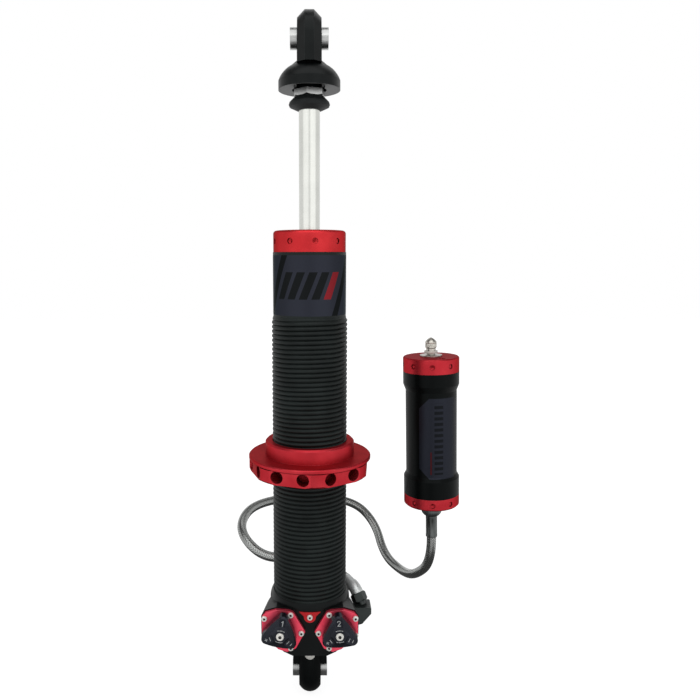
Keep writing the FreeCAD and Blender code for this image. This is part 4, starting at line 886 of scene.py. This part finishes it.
def reservoir_print():
    """Satin black anodising with a faintly lighter printed panel, worked out from place on the tube."""
    material, tree = new_material("black anodised tube with a printed panel")
    place = add_node(tree, "ShaderNodeTexCoord")
    moved = add_node(tree, "ShaderNodeVectorMath", {"operation": "SUBTRACT"},
                     {0: place.outputs["Object"], 1: reservoir_foot})
    upright = add_node(tree, "ShaderNodeVectorRotate", {"rotation_type": "Y_AXIS"},
                       {"Vector": moved, "Angle": math.radians(reservoir_lean)})
    axes = add_node(tree, "ShaderNodeSeparateXYZ", inputs={0: upright})
    front = add_node(tree, "ShaderNodeMath", {"operation": "MULTIPLY"}, {0: axes.outputs["Y"], 1: -1.0})
    angle = add_node(tree, "ShaderNodeMath", {"operation": "ARCTAN2"}, {0: axes.outputs["X"], 1: front})
    around = add_node(tree, "ShaderNodeMath", {"operation": "MULTIPLY"},
                      {0: angle, 1: reservoir_tube_radius})
    height = axes.outputs["Z"]
    half_height = (panel_top - panel_bottom) / 2
    half_width = (panel_right - panel_left) / 2
    reaches = []
    for along, middle in ((height, (panel_bottom + panel_top) / 2),
                          (around, (panel_left + panel_right) / 2)):
        off_middle = add_node(tree, "ShaderNodeMath", {"operation": "SUBTRACT"}, {0: along, 1: middle})
        reaches.append(add_node(tree, "ShaderNodeMath", {"operation": "ABSOLUTE"}, {0: off_middle}))
    corner = add_node(tree, "ShaderNodeMath", {"operation": "ADD"}, {0: reaches[0], 1: reaches[1]})
    panel = None
    for size, limit in ((reaches[0], half_height), (reaches[1], half_width),
                        (corner, half_height + half_width - panel_clip)):
        inside = add_node(tree, "ShaderNodeMath", {"operation": "LESS_THAN"}, {0: size, 1: limit})
        if panel:
            inside = add_node(tree, "ShaderNodeMath", {"operation": "MULTIPLY"},
                              {0: panel, 1: inside})
        panel = inside
    ground = add_node(tree, "ShaderNodeMix", {"data_type": "RGBA"},
                      {0: panel, 6: linear("080a0a"), 7: linear("21232b")})
    ticks = add_node(tree, "ShaderNodeMath", {"operation": "DIVIDE"}, {0: height, 1: scale_pitch})
    in_tick = add_node(tree, "ShaderNodeMath", {"operation": "FLOORED_MODULO"}, {0: ticks, 1: 1.0})
    tick = add_node(tree, "ShaderNodeMath", {"operation": "LESS_THAN"}, {0: in_tick, 1: scale_share})
    colour = ground
    for left, right, top_gap, stripe, code in (
            (scale_left, scale_right, scale_end, tick, "101216"),
            (red_line_left, red_line_right, red_line_end, None, "401418")):
        band = add_node(tree, "ShaderNodeMath", {"operation": "COMPARE"},
                        {0: around, 1: (left + right) / 2, 2: (right - left) / 2})
        end = add_node(tree, "ShaderNodeMath", {"operation": "COMPARE"}, {
            0: height, 1: (panel_bottom + scale_end + panel_top - top_gap) / 2,
            2: (panel_top - top_gap - panel_bottom - scale_end) / 2})
        mask = add_node(tree, "ShaderNodeMath", {"operation": "MULTIPLY"}, {0: band, 1: end})
        if stripe:
            mask = add_node(tree, "ShaderNodeMath", {"operation": "MULTIPLY"},
                            {0: mask, 1: stripe})
        colour = add_node(tree, "ShaderNodeMix", {"data_type": "RGBA"},
                          {0: mask, 6: colour.outputs[2], 7: linear(code)})
    rounded = add_node(tree, "ShaderNodeBevel", {"samples": 4}, {"Radius": reservoir_edge})
    grain = add_node(tree, "ShaderNodeTexNoise", inputs={
        "Vector": place.outputs["Object"], "Scale": 1 / reservoir_grain, "Detail": 5.0})
    bump = add_node(tree, "ShaderNodeBump", inputs={
        "Strength": 1.0, "Distance": reservoir_grain_height, "Height": grain.outputs["Fac"],
        "Normal": rounded})
    shader = add_node(tree, "ShaderNodeBsdfPrincipled", inputs={
        "Base Color": colour.outputs[2], "Metallic": 0.6, "Roughness": 0.36,
        "Specular Tint": linear("7c8080"), "Normal": bump})
    show(tree, shader)
    return material


dress(reservoir_print(), "reservoir_tube")
dress(deep_red, "reservoir_top_cap", "reservoir_bottom_cap")
# Hard anodised connection: dark grey and dull.
dark_grey = metal_surface("dark grey hard anodised aluminium", ("575b5b", "686c6c"), roughness=0.44,
                          lathe=0.3)
# Heights over the hose's end and radii, in mm.
connection_profile = ((18.3, 4.8), (18.5, 5.4), (19.1, 6.3), (20.0, 7.1), (21.0, 7.7), (22.3, 8.1),
                      (24.0, 8.3), (29.0, 8.3))
connection_build = bmesh.new()
add_rings(connection_build, [ring(height * MM, radius * MM) for height, radius in connection_profile],
          standing(hose_route[-1], Vector(hose_route[-1]) - Vector(hose_route[-2])))
domed_connection = add_piece("domed_connection", mesh_of("domed_connection", connection_build), dark_grey,
                             "body")
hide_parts("reservoir_tailpiece")

# Fill valve
# Gas valve of nickel plated steel, screwed into the reservoir's top cap on a sealing washer. A knurled
# dust cap is screwed on it.

cap_level = 233.8 * MM       # height of the dust cap's foot in the frame
cap_knurls = 32
# Heights over the cap's foot, radii and depths of the knurl, in mm.
cap_profile = ((0.0, 4.1, 0.0), (0.4, 4.5, 0.0), (0.9, 4.5, 0.0), (1.1, 4.5, 0.3), (3.4, 4.5, 0.3),
               (3.6, 4.2, 0.0), (4.0, 4.5, 0.0), (4.5, 4.5, 0.0), (5.3, 4.1, 0.0), (6.5, 2.9, 0.0),
               (7.5, 1.6, 0.0), (8.0, 0.9, 0.0))
# Nickel plating: a warm pale grey, softly mirroring.
valve_plate = metal_surface("nickel plated steel", ("9b9790", "b8b4ac"), roughness=0.3)
cap_direction = Matrix.Rotation(math.radians(-reservoir_lean), 3, "Y") @ Vector((0.0, 0.0, 1.0))
cap_foot = reservoir_foot + cap_direction * (cap_level - reservoir_foot.z)
cap_build = bmesh.new()
add_rings(cap_build, [ring(height * MM, radius * MM, depth * MM, cap_knurls)
                      for height, radius, depth in cap_profile], standing(cap_foot, cap_direction))
knurled_cap = add_piece("knurled_valve_cap", mesh_of("knurled_valve_cap", cap_build), valve_plate,
                        "valve_cap")
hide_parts("fill_valve_cap")
dress(valve_plate, "fill_valve", "fill_washer")

# Floor and backdrop
# A plain pale floor under the lower eye, and a pale backdrop below a dark ceiling. To the camera both are
# white, apart from the object's soft shadow. In the metal the floor shows a dark card in front, as in a
# studio, and under and behind the object a dark patch of painted shade, with a bright strip between: bright
# metal needs dark edges.

floor_level = -18.6 * MM
floor_half = 3.0
shadow_inner = 150 * MM      # radius in which the shadow shows in full
shadow_outer = 600 * MM
shadow_share = 0.25
floor_glow = 1.2             # a little over white, as the lamps light the floor to less than white
shade_and_studio_cards = (((40 * MM, 115 * MM), (180 * MM, 182 * MM)),         # middle and half size of the patch of painted shade, then of the card in front
         ((0.0, -380 * MM), (60 * MM, 130 * MM)))
card_edge = 40 * MM          # width over which the dark of the card and of the painted shade fades
card_level = 0.14            # of the floor's white


def seen_rays(tree, rays):
    """One where the camera, a reflection or glass looks, and zero where light is gathered."""
    first = add_node(tree, "ShaderNodeMath", {"operation": "MAXIMUM"},
                     {0: rays.outputs["Is Camera Ray"], 1: rays.outputs["Is Glossy Ray"]})
    return add_node(tree, "ShaderNodeMath", {"operation": "MAXIMUM"},
                    {0: first, 1: rays.outputs["Is Transmission Ray"]})


def pale_floor():
    """Pale matt floor: its own white and the shadow to the camera, and to all else the card in front
    and the painted shade under and behind the object.
    """
    material, tree = new_material("pale floor")
    rays = add_node(tree, "ShaderNodeLightPath")
    place = add_node(tree, "ShaderNodeTexCoord")
    distance = add_node(tree, "ShaderNodeVectorMath", {"operation": "LENGTH"}, {0: place.outputs["Object"]})
    white = add_node(tree, "ShaderNodeMapRange", {"interpolation_type": "SMOOTHSTEP"}, {
        "Value": distance.outputs["Value"], "From Min": shadow_inner, "From Max": shadow_outer,
        "To Min": 1.0 - shadow_share, "To Max": 1.0})
    axes = add_node(tree, "ShaderNodeSeparateXYZ", inputs={0: place.outputs["Object"]})
    patches = []                 # one on the card or on the painted shade, and zero off them
    for middles, halves in shade_and_studio_cards:
        sides = []
        for axis, middle, half in zip("XY", middles, halves):
            off_middle = add_node(tree, "ShaderNodeMath", {"operation": "SUBTRACT"},
                                  {0: axes.outputs[axis], 1: middle})
            reach = add_node(tree, "ShaderNodeMath", {"operation": "ABSOLUTE"}, {0: off_middle})
            sides.append(add_node(tree, "ShaderNodeMapRange", {"interpolation_type": "SMOOTHSTEP"}, {
                "Value": reach, "From Min": half + card_edge, "From Max": half}))
        patches.append(add_node(tree, "ShaderNodeMath", {"operation": "MULTIPLY"},
                                {0: sides[0], 1: sides[1]}))
    card = add_node(tree, "ShaderNodeMath", {"operation": "MAXIMUM"}, {0: patches[0], 1: patches[1]})
    unseen = add_node(tree, "ShaderNodeMath", {"operation": "SUBTRACT"},
                      {0: 1.0, 1: rays.outputs["Is Camera Ray"]})
    dark = add_node(tree, "ShaderNodeMath", {"operation": "MULTIPLY"}, {0: card, 1: unseen})
    bare = add_node(tree, "ShaderNodeMath", {"operation": "MULTIPLY_ADD"},
                    {0: dark, 1: card_level - 1.0, 2: 1.0})
    seen = white
    for share in (seen_rays(tree, rays), bare):
        seen = add_node(tree, "ShaderNodeMath", {"operation": "MULTIPLY"}, {0: seen, 1: share})
    colour = add_node(tree, "ShaderNodeMix", {"data_type": "RGBA"},
                      {0: dark, 6: linear("f2f2f2"), 7: linear("141414")})
    diffuse = add_node(tree, "ShaderNodeBsdfDiffuse", inputs={"Color": colour.outputs[2]})
    glow = add_node(tree, "ShaderNodeEmission", inputs={"Color": linear("ffffff"), "Strength": floor_glow})
    show(tree, add_node(tree, "ShaderNodeMixShader", inputs={0: seen, 1: diffuse, 2: glow}))
    return material


floor_build = bmesh.new()
bmesh.ops.create_grid(floor_build, x_segments=1, y_segments=1, size=floor_half)
floor = bpy.data.objects.new("floor", mesh_of("floor", floor_build))
floor.location = (0.0, 0.0, floor_level)
floor.data.materials.append(pale_floor())
scene.collection.objects.link(floor)

backdrop_top = 0.42          # the sine of the height above the horizon at which the backdrop ends
ceiling_start = 0.68         # and at which it has darkened to the ceiling
ceiling_level = 0.15         # of the backdrop's white
room_level = 0.45            # light that the room gives the object from all sides
world = bpy.data.worlds.new("studio")
scene.world = world
world.use_nodes = True
studio = world.node_tree
studio.nodes.clear()
rays = add_node(studio, "ShaderNodeLightPath")
toward = add_node(studio, "ShaderNodeTexCoord")
axes = add_node(studio, "ShaderNodeSeparateXYZ", inputs={0: toward.outputs["Generated"]})
ceiling = add_node(studio, "ShaderNodeMapRange", {"interpolation_type": "SMOOTHSTEP"}, {
    "Value": axes.outputs["Z"], "From Min": backdrop_top, "From Max": ceiling_start,
    "To Min": 1.0, "To Max": ceiling_level})
level = add_node(studio, "ShaderNodeMath", {"operation": "MAXIMUM"},
                 {0: rays.outputs["Is Camera Ray"], 1: ceiling})
soft = add_node(studio, "ShaderNodeBackground", inputs={"Color": linear("e8eaee"), "Strength": room_level})
white = add_node(studio, "ShaderNodeBackground", inputs={"Color": linear("ffffff"), "Strength": level})
backdrop = add_node(studio, "ShaderNodeMixShader", inputs={0: seen_rays(studio, rays), 1: soft, 2: white})
add_node(studio, "ShaderNodeOutputWorld", inputs={"Surface": backdrop})

# Lamps
# Two wide softboxes behind the camera, the right one a little brighter, with a key above it and a weaker
# lamp high behind the shock for its back. Between the wide ones round pieces show a faint darker line.

for name, place, target, width, height, power in (
        ("left_softbox", (-0.5, -0.6, 0.38), (0.0, 0.0, 0.25), 0.92, 1.0, 1.2),
        ("right_softbox", (0.5, -0.6, 0.38), (0.0, 0.0, 0.25), 0.92, 1.0, 1.45),
        ("key_softbox", (0.0, -0.45, 0.98), (0.0, 0.0, 0.15), 1.2, 0.9, 6.0),
        ("back_softbox", (0.1, 0.7, 1.3), (0.0, 0.0, 0.2), 1.2, 0.6, 2.4)):
    data = bpy.data.lights.new(name, "AREA")
    data.shape = "RECTANGLE"
    data.size = width
    data.size_y = height
    data.energy = power
    lamp = bpy.data.objects.new(name, data)
    lamp.location = place
    lamp.rotation_euler = (Vector(target) - Vector(place)).to_track_quat("-Z", "Y").to_euler()
    scene.collection.objects.link(lamp)
